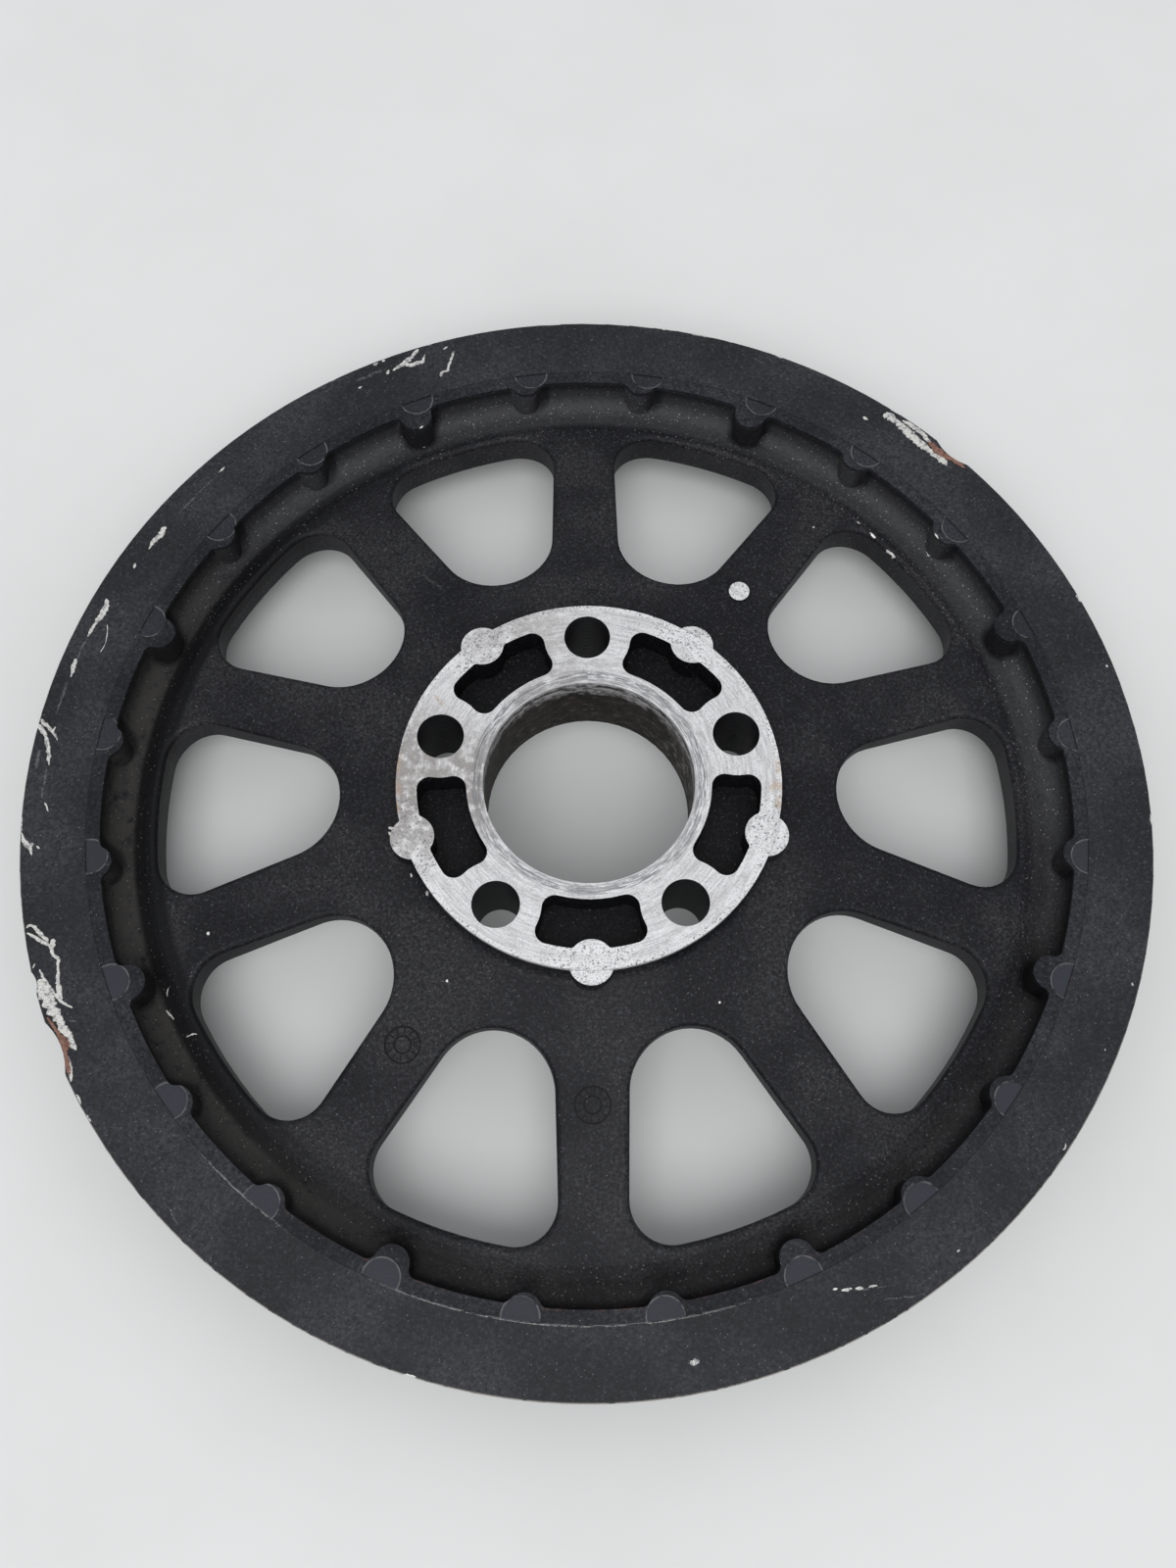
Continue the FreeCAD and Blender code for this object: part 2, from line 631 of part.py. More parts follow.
def bolt_holes(body):
    """Bolt holes straight through the hub."""
    before = volume_of(body)
    sketch = new_sketch(body, "bolt_hole_outline", height="derived.face_z")
    circle(sketch, "derived.bolt_radius", "derived.bolt_hole_radius")
    cut = cut_down(body, sketch, "bolt_hole_cut")
    polar(body, cut, "bolt_hole_pattern", "sizes.bolt_count")
    expect_change(body, before, False, "the bolt holes")


def lobe_outline(sketch, lobe_y, clock):
    """One lobe of the strip, at a clock angle, with its feet running into the rim wall."""
    wall = num("derived.rim_bore")
    foot = num("sizes.lobe_foot_round")
    nose = num("sizes.lobe_round")
    close = num("derived.lobe_close")
    turn = math.radians(clock)

    def turned(place):
        return point(place.x * math.cos(turn) + place.y * math.sin(turn),
                     place.y * math.cos(turn) - place.x * math.sin(turn))

    axis = point(0, 0)
    middle = point(0, num(lobe_y))
    right_foot = crossing(axis, wall - foot, middle, nose + foot)
    left_foot = point(-right_foot.x, right_foot.y)
    wall_right = right_foot * (wall / right_foot.Length)
    wall_left = point(-wall_right.x, wall_right.y)
    rounds = [
        Round(turned(left_foot), foot, False),
        Round(turned(middle), nose),
        Round(turned(right_foot), foot, False),
    ]
    places = [turned(wall_left), meet(*rounds[:2]), meet(*rounds[1:]), turned(wall_right)]
    first = smooth_run(sketch, rounds, places)
    top_right = turned(wall_right * (close / wall))
    top_left = turned(wall_left * (close / wall))
    right_line = sketch.addGeometry(Part.LineSegment(places[3], top_right))
    cap = sketch.addGeometry(Round(axis, close).edge(top_right, top_left))
    left_line = sketch.addGeometry(Part.LineSegment(top_left, places[0]))
    join(sketch, first + 2, 1, right_line, 1)
    join(sketch, right_line, 2, cap, 1)
    join(sketch, cap, 2, left_line, 1)
    join(sketch, left_line, 2, first, 2)
    if not clock:
        fix_point(sketch, first + 1, 3, None, lobe_y)
    sketch.addConstraint(Sketcher.Constraint("Coincident", cap, 3, -1, 1))
    fix_radius(sketch, cap, "derived.lobe_close")
    fix_radius(sketch, first, "sizes.lobe_foot_round")
    fix_radius(sketch, first + 1, "sizes.lobe_round")
    fix_radius(sketch, first + 2, "sizes.lobe_foot_round")


def lobes(body):
    """Lobes along the strip, which run down the rim wall as half-round ribs."""
    before = volume_of(body)
    sketch = new_sketch(body, "lobe_outline",
                        height="derived.rim_front_z", turn="derived.first_lobe_turn")
    spacing = num("sizes.lobe_spacing")
    lobe_outline(sketch, "derived.deep_lobe_y", 0)
    lobe_outline(sketch, "derived.small_lobe_y", spacing)
    lobe_outline(sketch, "derived.small_lobe_y", -spacing)
    pad = pad_down(body, sketch, "lobe_pad", "derived.lobe_length")
    polar(body, pad, "lobe_pattern", "sizes.lobe_group_count")
    expect_change(body, before, True, "the lobes")


def stake_marks(body):
    """Half-round punch marks along the seam, on a circle a little beside the pulley's axis."""
    before = volume_of(body)
    sketch = new_sketch(body, "stake_outline",
                        height="derived.rim_front_z", turn="derived.stake_first_turn")
    sketch.setExpression("AttachmentOffset.Base.x", "derived.stake_x_shift")
    sketch.setExpression("AttachmentOffset.Base.y", "derived.stake_y_shift")
    circle(sketch, "derived.stake_y", "derived.stake_radius")
    cut = cut_down(body, sketch, "stake_cut", "sizes.stake_depth")
    polar(body, cut, "stake_pattern", "sizes.stake_count", (sketch, ["N_Axis"]))
    expect_change(body, before, False, "the stake marks")


def witness_pad(body):
    """Bare round pad that stands a little out of one spoke."""
    before = volume_of(body)
    sketch = new_sketch(body, "witness_outline", height="derived.witness_z", turn="-sizes.witness_clock")
    circle(sketch, "derived.witness_y", "derived.witness_radius")
    pad = pad_down(body, sketch, "witness_pad", "derived.witness_length")
    body.Tip = pad
    expect_change(body, before, True, "the witness pad")


def date_wheels(body):
    """Round mould marks: two shallow rings each, square to the sloping web."""
    before = volume_of(body)
    sketch = new_sketch(body, "date_wheel_outline")
    spot = FreeCAD.Vector(0, num("derived.wheel_y"), num("derived.wheel_z"))
    turn = FreeCAD.Rotation(FreeCAD.Vector(0, 0, 1), -num("sizes.date_wheel_clock"))
    lean = FreeCAD.Rotation(FreeCAD.Vector(1, 0, 0), -num("sizes.web_front_angle"))
    sketch.AttachmentOffset = FreeCAD.Placement(turn.multVec(spot), turn * lean)
    for side in ("outer", "outer_in", "inner", "inner_in"):
        circle(sketch, None, f"derived.wheel_{side}")
    cut = cut_down(body, sketch, "date_wheel_cut", "sizes.date_wheel_depth")
    pattern = polar(body, cut, "date_wheel_pattern", "sizes.date_wheel_count")
    pattern.Reversed = True
    pattern.setExpression("Angle", "derived.window_step * (sizes.date_wheel_count - 1)")
    expect_change(body, before, False, "the date wheels")


def tooth_grooves(body):
    """Round-bottomed grooves between the teeth, from the shoulder down to the back flange."""
    before = volume_of(body)
    sketch = new_sketch(body, "groove_outline", height="derived.shoulder_z")
    tip = num("sizes.tooth_tip_round")
    floor = Round(point(0, num("derived.groove_y")), num("sizes.groove_round"))
    axis = point(0, 0)
    right_centre = crossing(axis, num("derived.tip_radius") - tip, floor.centre, floor.radius + tip)
    right = Round(right_centre, tip, False)
    left = Round(point(-right_centre.x, right_centre.y), tip, False)
    tip_right = right_centre * (num("derived.tip_radius") / right_centre.Length)
    tip_left = point(-tip_right.x, tip_right.y)
    places = [tip_left, meet(left, floor), meet(floor, right), tip_right]
    smooth_run(sketch, [left, floor, right], places)
    top = num("derived.groove_top_y")
    sketch.addGeometry(Part.LineSegment(tip_right, point(tip_right.x, top)))
    sketch.addGeometry(Part.LineSegment(point(tip_right.x, top), point(tip_left.x, top)))
    sketch.addGeometry(Part.LineSegment(point(tip_left.x, top), tip_left))
    join(sketch, 2, 1, 3, 1)
    join(sketch, 3, 2, 4, 1)
    join(sketch, 4, 2, 5, 1)
    join(sketch, 5, 2, 0, 2)
    fix_point(sketch, 1, 3, None, "derived.groove_y")
    fix_radius(sketch, 1, "sizes.groove_round")
    fix_radius(sketch, 0, "sizes.tooth_tip_round")
    fix_radius(sketch, 2, "sizes.tooth_tip_round")
    cut = cut_down(body, sketch, "groove_cut", "sizes.belt_space")
    polar(body, cut, "groove_pattern", "sizes.tooth_count")
    expect_change(body, before, False, "the tooth grooves")


def pulley_casting():
    """The one-piece casting."""
    body = new_body("pulley_casting")
    turned_casting(body)
    edge_bosses(body)
    hub_pockets(body)
    bolt_holes(body)
    witness_pad(body)
    date_wheels(body)
    lobes(body)
    stake_marks(body)
    windows(body)
    tooth_grooves(body)
    return body


def flange_ring():
    """Flat steel ring on the shoulder, with the worn bites of its outer edge."""
    body = new_body("flange_ring")
    sketch = new_sketch(body, "ring_section", "YZ_Plane")
    straight_outline(sketch, [
        ("derived.ring_bore", "derived.shoulder_z"),
        ("derived.flange_radius", "derived.shoulder_z"),
        ("derived.flange_radius", "derived.rim_front_z"),
        ("derived.ring_bore", "derived.rim_front_z"),
    ])
    turned = body.newObject("PartDesign::Revolution", "ring_turned")
    turned.Profile = sketch
    turned.ReferenceAxis = (sketch, ["V_Axis"])
    turned.Angle = 360
    body.Tip = turned
    round_rings(body, "ring_edge_fillet", "sizes.flange_edge_round", [
        ("derived.flange_radius", "derived.shoulder_z"),
        ("derived.flange_radius", "derived.rim_front_z"),
    ])
    for number in range(1, len(EDGE_BITES) + 1):
        before = volume_of(body)
        bite = f"bite_{number}"
        outline = new_sketch(body, f"{bite}_outline",
                             height="derived.rim_front_z", turn=f"-sizes.{bite}_clock")
        circle(outline, f"derived.{bite}_y", f"sizes.{bite}_curve")
        cut = cut_down(body, outline, f"{bite}_cut", "sizes.ring_thickness")
        body.Tip = cut
        expect_change(body, before, False, f"edge bite {number}")
    return body


def check(bodies):
    """Stop if any object failed or a body isn't one valid solid."""
    for item in doc.Objects:
        if {"Invalid", "Error"} & set(item.State):
            raise RuntimeError(f"{item.Name} failed: {item.State}")
    for body in bodies:
        shape = body.Shape
        if shape.isNull() or not shape.isValid() or len(shape.Solids) != 1:
            raise RuntimeError(f"{body.Label} is not one valid solid")


def main():
    """Build both pieces, check them and write their files."""
    write_sizes()
    doc.recompute()
    write_derived()
    doc.recompute()
    bodies = [pulley_casting(), flange_ring()]
    doc.recompute()
    check(bodies)
    for body in bodies:
        body.Shape.exportStep(f"parts/{body.Label}.step")
        print(body.Label, "volume", round(body.Shape.Volume))


main()
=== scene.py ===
"""Looks of the rear belt pulley: coat, bare metal, dirt and wear, painted shade and sheen, with the light
and the camera.

Sizes are in millimetres, and only the light's and the floor's are in metres.  Clock angles are in degrees
and run clockwise from +Y, seen from +Z.
"""
import bpy
import bmesh
import math
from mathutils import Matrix, Vector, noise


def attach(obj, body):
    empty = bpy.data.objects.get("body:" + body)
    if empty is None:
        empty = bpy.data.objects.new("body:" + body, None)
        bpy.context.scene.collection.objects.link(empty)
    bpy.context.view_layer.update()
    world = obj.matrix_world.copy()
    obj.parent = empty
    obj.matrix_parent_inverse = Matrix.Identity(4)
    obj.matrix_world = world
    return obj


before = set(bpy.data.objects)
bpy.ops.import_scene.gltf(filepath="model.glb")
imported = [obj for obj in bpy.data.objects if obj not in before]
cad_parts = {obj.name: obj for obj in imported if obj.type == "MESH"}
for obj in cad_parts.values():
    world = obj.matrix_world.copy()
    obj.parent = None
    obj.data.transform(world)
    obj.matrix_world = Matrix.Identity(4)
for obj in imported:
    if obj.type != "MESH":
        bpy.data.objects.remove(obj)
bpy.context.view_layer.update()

MM = 0.001

# Sizes of the pulley
BORE_RADIUS = 27.94
BORE_STEP_RADIUS = 30.39
BOLT_RADIUS = 41.275
BOLT_HOLE_RADIUS = 6.235
BOLT_STEP = 72.0
HUB_RADIUS = 50.7
EDGE_BOSS_RADIUS = 48.5
HUB_FACE_Z = 47.0
EDGE_BOSS_Z = 45.5
HUB_BACK_Z = 18.0
WINDOW_OUTER = 118.0
LIP_RADIUS = 120.6
CHANNEL_RADIUS = 126.2
RIM_BORE = 131.3
SEAM_RADIUS = 135.0
GROOVE_ROOT = 139.56
TIP_RADIUS = 145.66
FLANGE_RADIUS = 152.51
BACK_FLANGE_Z = 2.5
SHOULDER_Z = 31.6
RIM_FRONT_Z = 34.0
STAKE_Z = 33.65
STAKE_CIRCLE = 134.6
STAKE_PUNCH = 4.65
STAKE_SHIFT = 0.636
STAKE_TURN = 0.55
STAKE_STEP = 15.0
WITNESS_RADIUS = 74.3
WITNESS_CLOCK = 35.7
WITNESS_PAD = 2.9
WITNESS_Z = 36.24
POCKET_INNER = 32.3
POCKET_OUTER = 45.3
DEEP_LOBE_CIRCLE = 129.8
DEEP_LOBE_CLOCK = 22.5
DEEP_LOBE_STEP = 45.0
LOBE_ROUND = 4.5
WHEEL_CIRCLE = 82.35
WHEEL_CLOCKS = (180.0, 216.0)
WHEEL_RINGS = ((4.35, 4.80), (1.95, 2.40))
WHEEL_TICKS = 12
DRILL_PITCH = 0.9
# Bites of the ring's outer edge: clock angle, depth and radius of the curve
EDGE_BITES = (
    (12.0, 0.35, 16.0), (23.0, 0.4, 3.0), (37.5, 0.5, 9.0), (45.6, 1.7, 14.0), (67.4, 0.45, 2.5),
    (93.0, 0.3, 3.5), (197.0, 0.35, 5.0), (244.0, 1.9, 18.0), (251.0, 0.9, 6.0), (266.0, 0.3, 8.0),
    (337.0, 0.35, 12.0),
)

# Worn and dirty parts, and parts darkened with painted shade: first and last clock angle, and half the
# width of the soft ends
WORN_EDGE = ((118, 240, 6), (256, 284, 4), (4, 52, 4))
WORN_SEAM = ((166, 202, 5), (215, 226, 2))
BROWN_CHANNEL = (205, 300, 14)
SHADED_SLOPE = (215, 325, 24)
RUSTY_CHANNEL = (150, 215, 12)
SHADED_WALL_FOOT = (140, 222, 18)
GREY_HUB = (246, 292, 14)
GREY_HUB_FAINT = (322, 354, 12)
SCUFFED_BORE = (52, 92, 8)

# Noises: features per millimetre, detail and roughness
FINE_NOISE = (1.25, 3.0, 0.75)
WIDE_NOISE = (0.035, 2.0, 0.5)
PATCHY_NOISE = (0.30, 3.0, 0.65)
WORN_NOISE = (0.45, 4.0, 0.65)
SPECKLE_NOISE = (2.1, 3.0, 0.75)
TORN_NOISE = (0.8, 4.0, 0.7)
FRAYED_NOISE = (2.6, 3.0, 0.7)
SPECKS_PER_MM = 0.80

# Relief of the torn metal and of the other surfaces, and the shares of the latter
TORN_RELIEF = 0.10
RELIEF = 0.35
RING_GRAIN = 0.16
CAST_GRAIN = 0.20
LATHE_GROOVE = 0.06
PIT_DEPTH = 0.25
DRILL_GROOVE = 0.11

# Specular levels of the ring's coat and of the casting
RING_GLOSS = 0.28
CAST_GLOSS = 0.17

# Strips of torn metal: places across one as shares of its half width, spacing of the rows along it,
# depth of its foot and of its border below the ring's front, space to the ring's worn edge, least half
# width, and the step between the noise seeds of two strips
STRIP_SHARES = (-1.0, -0.82, -0.5, -0.15, 0.2, 0.55, 0.84, 1.0)
STRIP_SPACING = 0.35
STRIP_FOOT = 0.35
STRIP_BORDER = 0.06
STRIP_EDGE_GAP = 0.12
STRIP_LEAST_HALF = 0.06
STRIP_SEED_STEP = 13.7

# Light and floor, in metres and watts
SKY_TINT = (0.97, 0.985, 1.0, 1)
SKY_LOW = 0.35
SKY_HIGH = 0.82
BACKDROP = (0.90, 0.90, 0.90, 1)
LAMP_SIZE = 2.6
LAMP_POWER = 76.0
LAMP_PLACE = (-0.20, -1.95, 3.55)
FLOOR_HALF_SIZE = 3.0
FLOOR_LIGHT = (0.755, 0.760, 0.757, 1)
FLOOR_DARK = (0.725, 0.732, 0.728, 1)

# Camera: sensor, lens and place in millimetres, turns about X, Y and Z in degrees
SENSOR_WIDTH = 36.0
LENS = 34.757
CAMERA_PLACE = (-5.757, -134.052, 421.190)
CAMERA_TURN = (19.573, -0.579, -0.718)

# Colours
COAT_DARK = (0.0105, 0.0110, 0.0135, 1)
COAT_LIGHT = (0.0205, 0.0212, 0.0275, 1)
CAST_DARK = (0.0078, 0.0079, 0.0100, 1)
CAST_LIGHT = (0.0165, 0.0165, 0.0195, 1)
GRIT = (0.041, 0.042, 0.051, 1)
# Near black for the coat's dark grains, and for painted shade in the channel, under the lobes, in the
# pockets and in the mould marks' lines
DARK_GRAIN_AND_SHADE = (0.0022, 0.0023, 0.0032, 1)
# Grey of the stake marks: painted sheen of their smooth faces
STAKE_SHEEN = (0.036, 0.039, 0.050, 1)
DUST = (0.20, 0.195, 0.185, 1)
PALE_SPECK = (0.42, 0.42, 0.40, 1)
CHANNEL_DIRT = (0.043, 0.041, 0.039, 1)
# Pale dust of the channel, which also stands for painted light on its far side
CHANNEL_DUST_AND_LIGHT = (0.067, 0.068, 0.073, 1)
RUST = (0.120, 0.052, 0.038, 1)
RUST_LIGHT = (0.25, 0.135, 0.100, 1)
BARE_STEEL = (0.70, 0.69, 0.66, 1)
BARE_STEEL_DARK = (0.25, 0.25, 0.26, 1)
EDGE_STEEL = (0.34, 0.32, 0.29, 1)
HUB_METAL = (0.84, 0.84, 0.85, 1)
HUB_METAL_DARK = (0.46, 0.45, 0.46, 1)
PIT = (0.20, 0.20, 0.21, 1)
HUB_WORN = (0.37, 0.35, 0.34, 1)
HUB_STAIN = (0.42, 0.29, 0.19, 1)
BORE_DIRT = (0.021, 0.0155, 0.0115, 1)
BORE_BLACK = (0.0040, 0.0036, 0.0032, 1)
BORE_STREAK = (0.30, 0.29, 0.27, 1)
HOLE_METAL = (0.060, 0.061, 0.066, 1)
TOOTH_METAL = (0.13, 0.13, 0.14, 1)
TOOTH_DIRT = (0.030, 0.029, 0.028, 1)

# Small bare chips of the flange ring.  Marks are a clock angle, a radius, half the length along the rim,
# half the width and a turn in degrees
RING_CHIPS = [
    (9.5, 152.4, 3.2, 0.30, 0), (13.6, 152.2, 4.0, 0.40, 0), (17.2, 152.4, 2.2, 0.3, 0),
    (23.0, 152.2, 1.2, 0.45, 0), (67.4, 152.1, 1.1, 0.5, 0), (93.0, 152.3, 1.6, 0.4, 0),
    (75.6, 150.4, 0.4, 0.3, 0), (110.6, 150.6, 0.6, 0.2, 20), (118.0, 149.0, 0.3, 0.2, 0),
    (128.5, 151.2, 0.7, 0.2, 10), (143.0, 148.4, 0.4, 0.2, 0), (197.0, 152.2, 1.6, 0.4, 0),
    (151.9, 143.6, 1.1, 0.30, -18), (153.2, 142.4, 1.0, 0.34, -18), (154.4, 141.2, 1.3, 0.32, -18),
    (155.4, 140.0, 0.7, 0.28, -18), (236.3, 152.0, 1.0, 0.25, 0), (238.4, 152.0, 1.4, 0.3, 0),
    (267.4, 152.2, 2.6, 0.25, 0), (330.6, 152.3, 1.0, 0.3, 0), (342.3, 152.2, 0.7, 0.35, 0),
]
# Fine, faint scratches on the flange ring
RING_SCRATCHES = [
    (149.8, 149.6, 6.5, 0.22, -24), (152.0, 144.0, 6.0, 0.18, -22), (281.8, 148.1, 5.6, 0.40, 0),
    (287.6, 148.0, 4.2, 0.35, 0), (272.0, 147.3, 5.0, 0.35, 0), (308.4, 146.5, 5.0, 0.2, 0),
    (311.6, 146.6, 4.5, 0.2, 0), (334.6, 148.6, 5.0, 0.5, 0), (351.6, 145.3, 3.6, 0.14, 0),
    (274.6, 150.2, 3.4, 0.7, 0), (245.8, 145.8, 1.2, 0.3, 62), (21.0, 148.5, 3.2, 0.14, -15),
    (104.0, 144.8, 3.4, 0.14, -25), (224.0, 149.6, 4.0, 0.16, -12),
]
# Torn bare metal of the ring's gouges: paths of clock angle, radius and half width
TORN_PATHS = [
    [(36.8, 148.9, 0.6), (37.4, 149.7, 1.4), (38.2, 149.6, 0.9), (39.2, 149.2, 1.1), (40.2, 148.8, 1.3),
     (41.2, 148.3, 1.5), (42.2, 148.1, 1.2), (43.4, 147.9, 0.9), (44.6, 147.8, 0.8), (45.6, 148.1, 1.0),
     (46.3, 147.4, 0.3)],
    [(38.9, 150.9, 0.2), (39.6, 151.2, 0.6), (40.6, 151.3, 0.6), (41.6, 151.1, 0.7), (42.5, 150.6, 0.6),
     (43.2, 150.3, 0.2)],
    [(35.0, 145.0, 0.2), (35.3, 145.0, 0.5), (35.7, 145.0, 0.2)],
    [(170.2, 145.1, 0.2), (170.5, 145.4, 0.8), (170.9, 145.3, 0.6), (171.1, 144.9, 0.2)],
    [(240.3, 151.8, 0.3), (241.0, 151.0, 0.5), (241.8, 150.2, 0.35), (242.7, 149.9, 0.15)],
    [(242.9, 147.5, 0.3), (243.6, 147.8, 0.8), (244.4, 147.8, 0.9), (245.4, 148.4, 1.1),
     (246.4, 149.0, 1.2), (247.4, 149.4, 1.4), (248.4, 149.9, 1.6), (249.4, 150.2, 1.8),
     (250.3, 150.5, 1.4), (251.1, 151.0, 0.7)],
    [(249.2, 148.1, 0.4), (250.4, 149.1, 0.45), (251.4, 149.8, 0.4), (252.1, 150.2, 0.15)],
    [(247.1, 144.8, 0.2), (247.8, 146.2, 0.35), (248.4, 147.3, 0.4), (249.2, 148.0, 0.4)],
    [(248.3, 146.8, 0.4), (249.2, 146.8, 0.8), (250.0, 146.5, 0.65), (251.0, 145.9, 0.5),
     (252.0, 145.4, 0.4), (252.5, 145.0, 0.6), (253.1, 145.9, 0.5), (253.8, 146.3, 0.6),
     (254.2, 145.9, 1.0), (254.8, 145.2, 0.4)],
    [(254.3, 146.6, 0.5), (255.0, 148.7, 0.5), (255.6, 150.1, 0.45), (256.1, 151.7, 0.3)],
    [(254.7, 146.6, 0.4), (255.5, 148.1, 0.55), (256.3, 149.2, 0.55), (256.8, 150.5, 0.35),
     (256.6, 151.7, 0.2)],
    [(252.4, 151.8, 0.15), (252.8, 151.0, 0.15)],
    [(266.6, 151.9, 0.2), (265.9, 151.4, 0.5), (265.4, 150.6, 0.8), (265.2, 149.8, 0.9),
     (265.4, 148.6, 0.2)],
    [(264.1, 149.1, 0.15), (264.7, 149.4, 0.45), (265.2, 149.8, 0.8)],
    [(264.8, 147.0, 0.2), (264.9, 147.4, 0.35), (265.1, 147.9, 0.2)],
    [(268.8, 145.2, 0.15), (269.3, 145.8, 0.25), (269.8, 146.4, 0.3)],
    [(274.0, 146.8, 0.15), (274.8, 147.2, 0.55), (275.5, 147.6, 0.6), (276.3, 148.4, 0.6),
     (277.0, 149.2, 0.55), (277.6, 150.2, 0.6), (278.0, 151.2, 0.7), (278.4, 152.1, 0.7)],
    [(276.9, 145.9, 0.15), (277.4, 146.9, 0.35), (277.8, 148.0, 0.5), (278.3, 149.4, 0.55),
     (278.6, 150.8, 0.6), (279.0, 151.9, 0.4)],
    [(277.8, 147.9, 0.3), (278.4, 147.4, 0.2)],
    [(284.2, 147.7, 0.12), (285.0, 147.9, 0.5), (285.8, 148.2, 0.6), (286.4, 148.3, 0.35)],
    [(289.2, 147.9, 0.2), (290.0, 147.9, 0.45), (291.0, 147.6, 0.55), (292.0, 147.3, 0.85),
     (293.0, 147.3, 0.85), (293.6, 147.8, 0.7), (294.0, 148.4, 0.2)],
    [(287.9, 142.6, 0.12), (289.0, 142.4, 0.10), (290.0, 143.0, 0.14), (290.8, 143.8, 0.14),
     (291.2, 144.4, 0.16)],
    [(298.5, 146.5, 0.2), (298.8, 146.7, 0.45), (299.1, 147.0, 0.2)],
    [(301.3, 146.3, 0.12), (302.0, 146.5, 0.5), (302.7, 146.6, 0.7), (303.4, 146.2, 0.75),
     (304.0, 146.6, 0.8), (304.6, 146.4, 0.4)],
    [(313.4, 147.0, 0.1), (313.9, 147.0, 0.3), (314.4, 147.1, 0.1)],
    [(332.6, 146.0, 0.15), (332.9, 146.0, 0.35), (333.1, 146.0, 0.15)],
    [(335.4, 151.4, 0.2), (335.7, 151.5, 0.45), (336.0, 151.6, 0.2)],
    [(336.5, 151.6, 0.2), (336.7, 151.6, 0.4), (336.9, 151.6, 0.2)],
    [(336.4, 146.7, 0.3), (336.6, 147.3, 0.6), (336.8, 147.9, 0.3)],
    [(337.2, 147.3, 0.25), (338.0, 147.8, 0.5), (338.8, 148.3, 0.7), (339.3, 149.0, 0.9),
     (339.7, 149.9, 0.3)],
    [(339.7, 149.2, 0.35), (340.3, 150.5, 0.6), (340.9, 151.7, 0.3)],
    [(338.8, 147.6, 0.4), (339.5, 147.0, 0.6), (340.3, 147.0, 0.6), (340.9, 147.0, 0.5),
     (341.1, 148.0, 0.3), (341.4, 149.2, 0.15)],
    [(342.3, 140.2, 0.35), (342.6, 141.4, 0.4), (343.0, 141.7, 0.3), (343.3, 141.6, 0.4),
     (343.6, 142.9, 0.4), (344.1, 145.0, 0.45), (344.7, 147.6, 0.3)],
    [(343.6, 149.3, 0.15), (343.9, 149.5, 0.3), (344.2, 149.8, 0.2)],
]
# Rust in the two deepest gouges
RUST_PATHS = [
    [(42.7, 150.3, 0.3), (43.4, 149.9, 0.9), (44.4, 149.6, 1.1), (45.2, 149.7, 1.0), (46.0, 150.3, 0.7),
     (47.0, 150.7, 0.6), (47.9, 150.9, 0.2)],
    [(241.0, 151.2, 0.4), (242.0, 150.8, 0.8), (243.0, 150.5, 0.8), (244.0, 150.1, 0.8),
     (245.2, 150.2, 0.5), (246.4, 150.9, 0.4), (247.2, 151.5, 0.2)],
    [(243.3, 149.5, 0.3), (243.9, 149.0, 0.7), (244.9, 149.5, 0.4)],
]
# Chips, scratches and rust stains on the casting
CASTING_CHIPS = [
    (52.2, 128.4, 1.0, 0.35, 0), (337.5, 125.6, 0.7, 0.3, 20), (47.9, 112.0, 1.0, 0.4, 40),
    (49.3, 118.4, 1.7, 0.36, 4), (45.6, 118.8, 1.2, 0.28, 0), (42.8, 119.0, 0.6, 0.22, 0),
    (283.0, 50.4, 0.5, 0.4, 0), (258.8, 52.9, 1.4, 0.45, 60), (257.2, 54.1, 0.8, 0.3, 0),
    (236.0, 51.2, 0.5, 0.3, 0), (243.4, 52.3, 0.5, 0.25, 0), (38.4, 108.2, 0.4, 0.3, 0),
    (250.6, 107.4, 0.5, 0.35, 0), (243.0, 124.4, 1.7, 0.25, 15), (245.6, 122.6, 1.2, 0.2, -30),
    (239.2, 121.4, 1.5, 0.2, 70), (128.0, 113.6, 0.4, 0.3, 0), (216.0, 63.0, 0.35, 0.3, 0),
    (150.0, 66.0, 0.3, 0.3, 0),
]
CASTING_SCRATCHES = [
    (326.0, 78.2, 6.0, 0.5, 105), (297.0, 122.4, 5.0, 0.15, 8), (145.0, 96.0, 5.5, 0.14, 50),
]
HUB_STAINS = [
    (92.5, 49.4, 2.4, 1.7, 90), (86.0, 49.9, 2.6, 0.8, 0), (97.5, 50.0, 2.0, 0.8, 0),
    (268.0, 49.8, 2.6, 0.9, 10), (276.0, 50.2, 3.4, 0.5, 0), (300.0, 46.0, 2.0, 0.5, 60),
    (262.0, 50.6, 2.2, 0.5, 0),
]


def on_circle(radius, clock):
    """Place at a clock angle of a circle about the axis."""
    angle = math.radians(clock)
    return (radius * math.sin(angle), radius * math.cos(angle), 0.0)


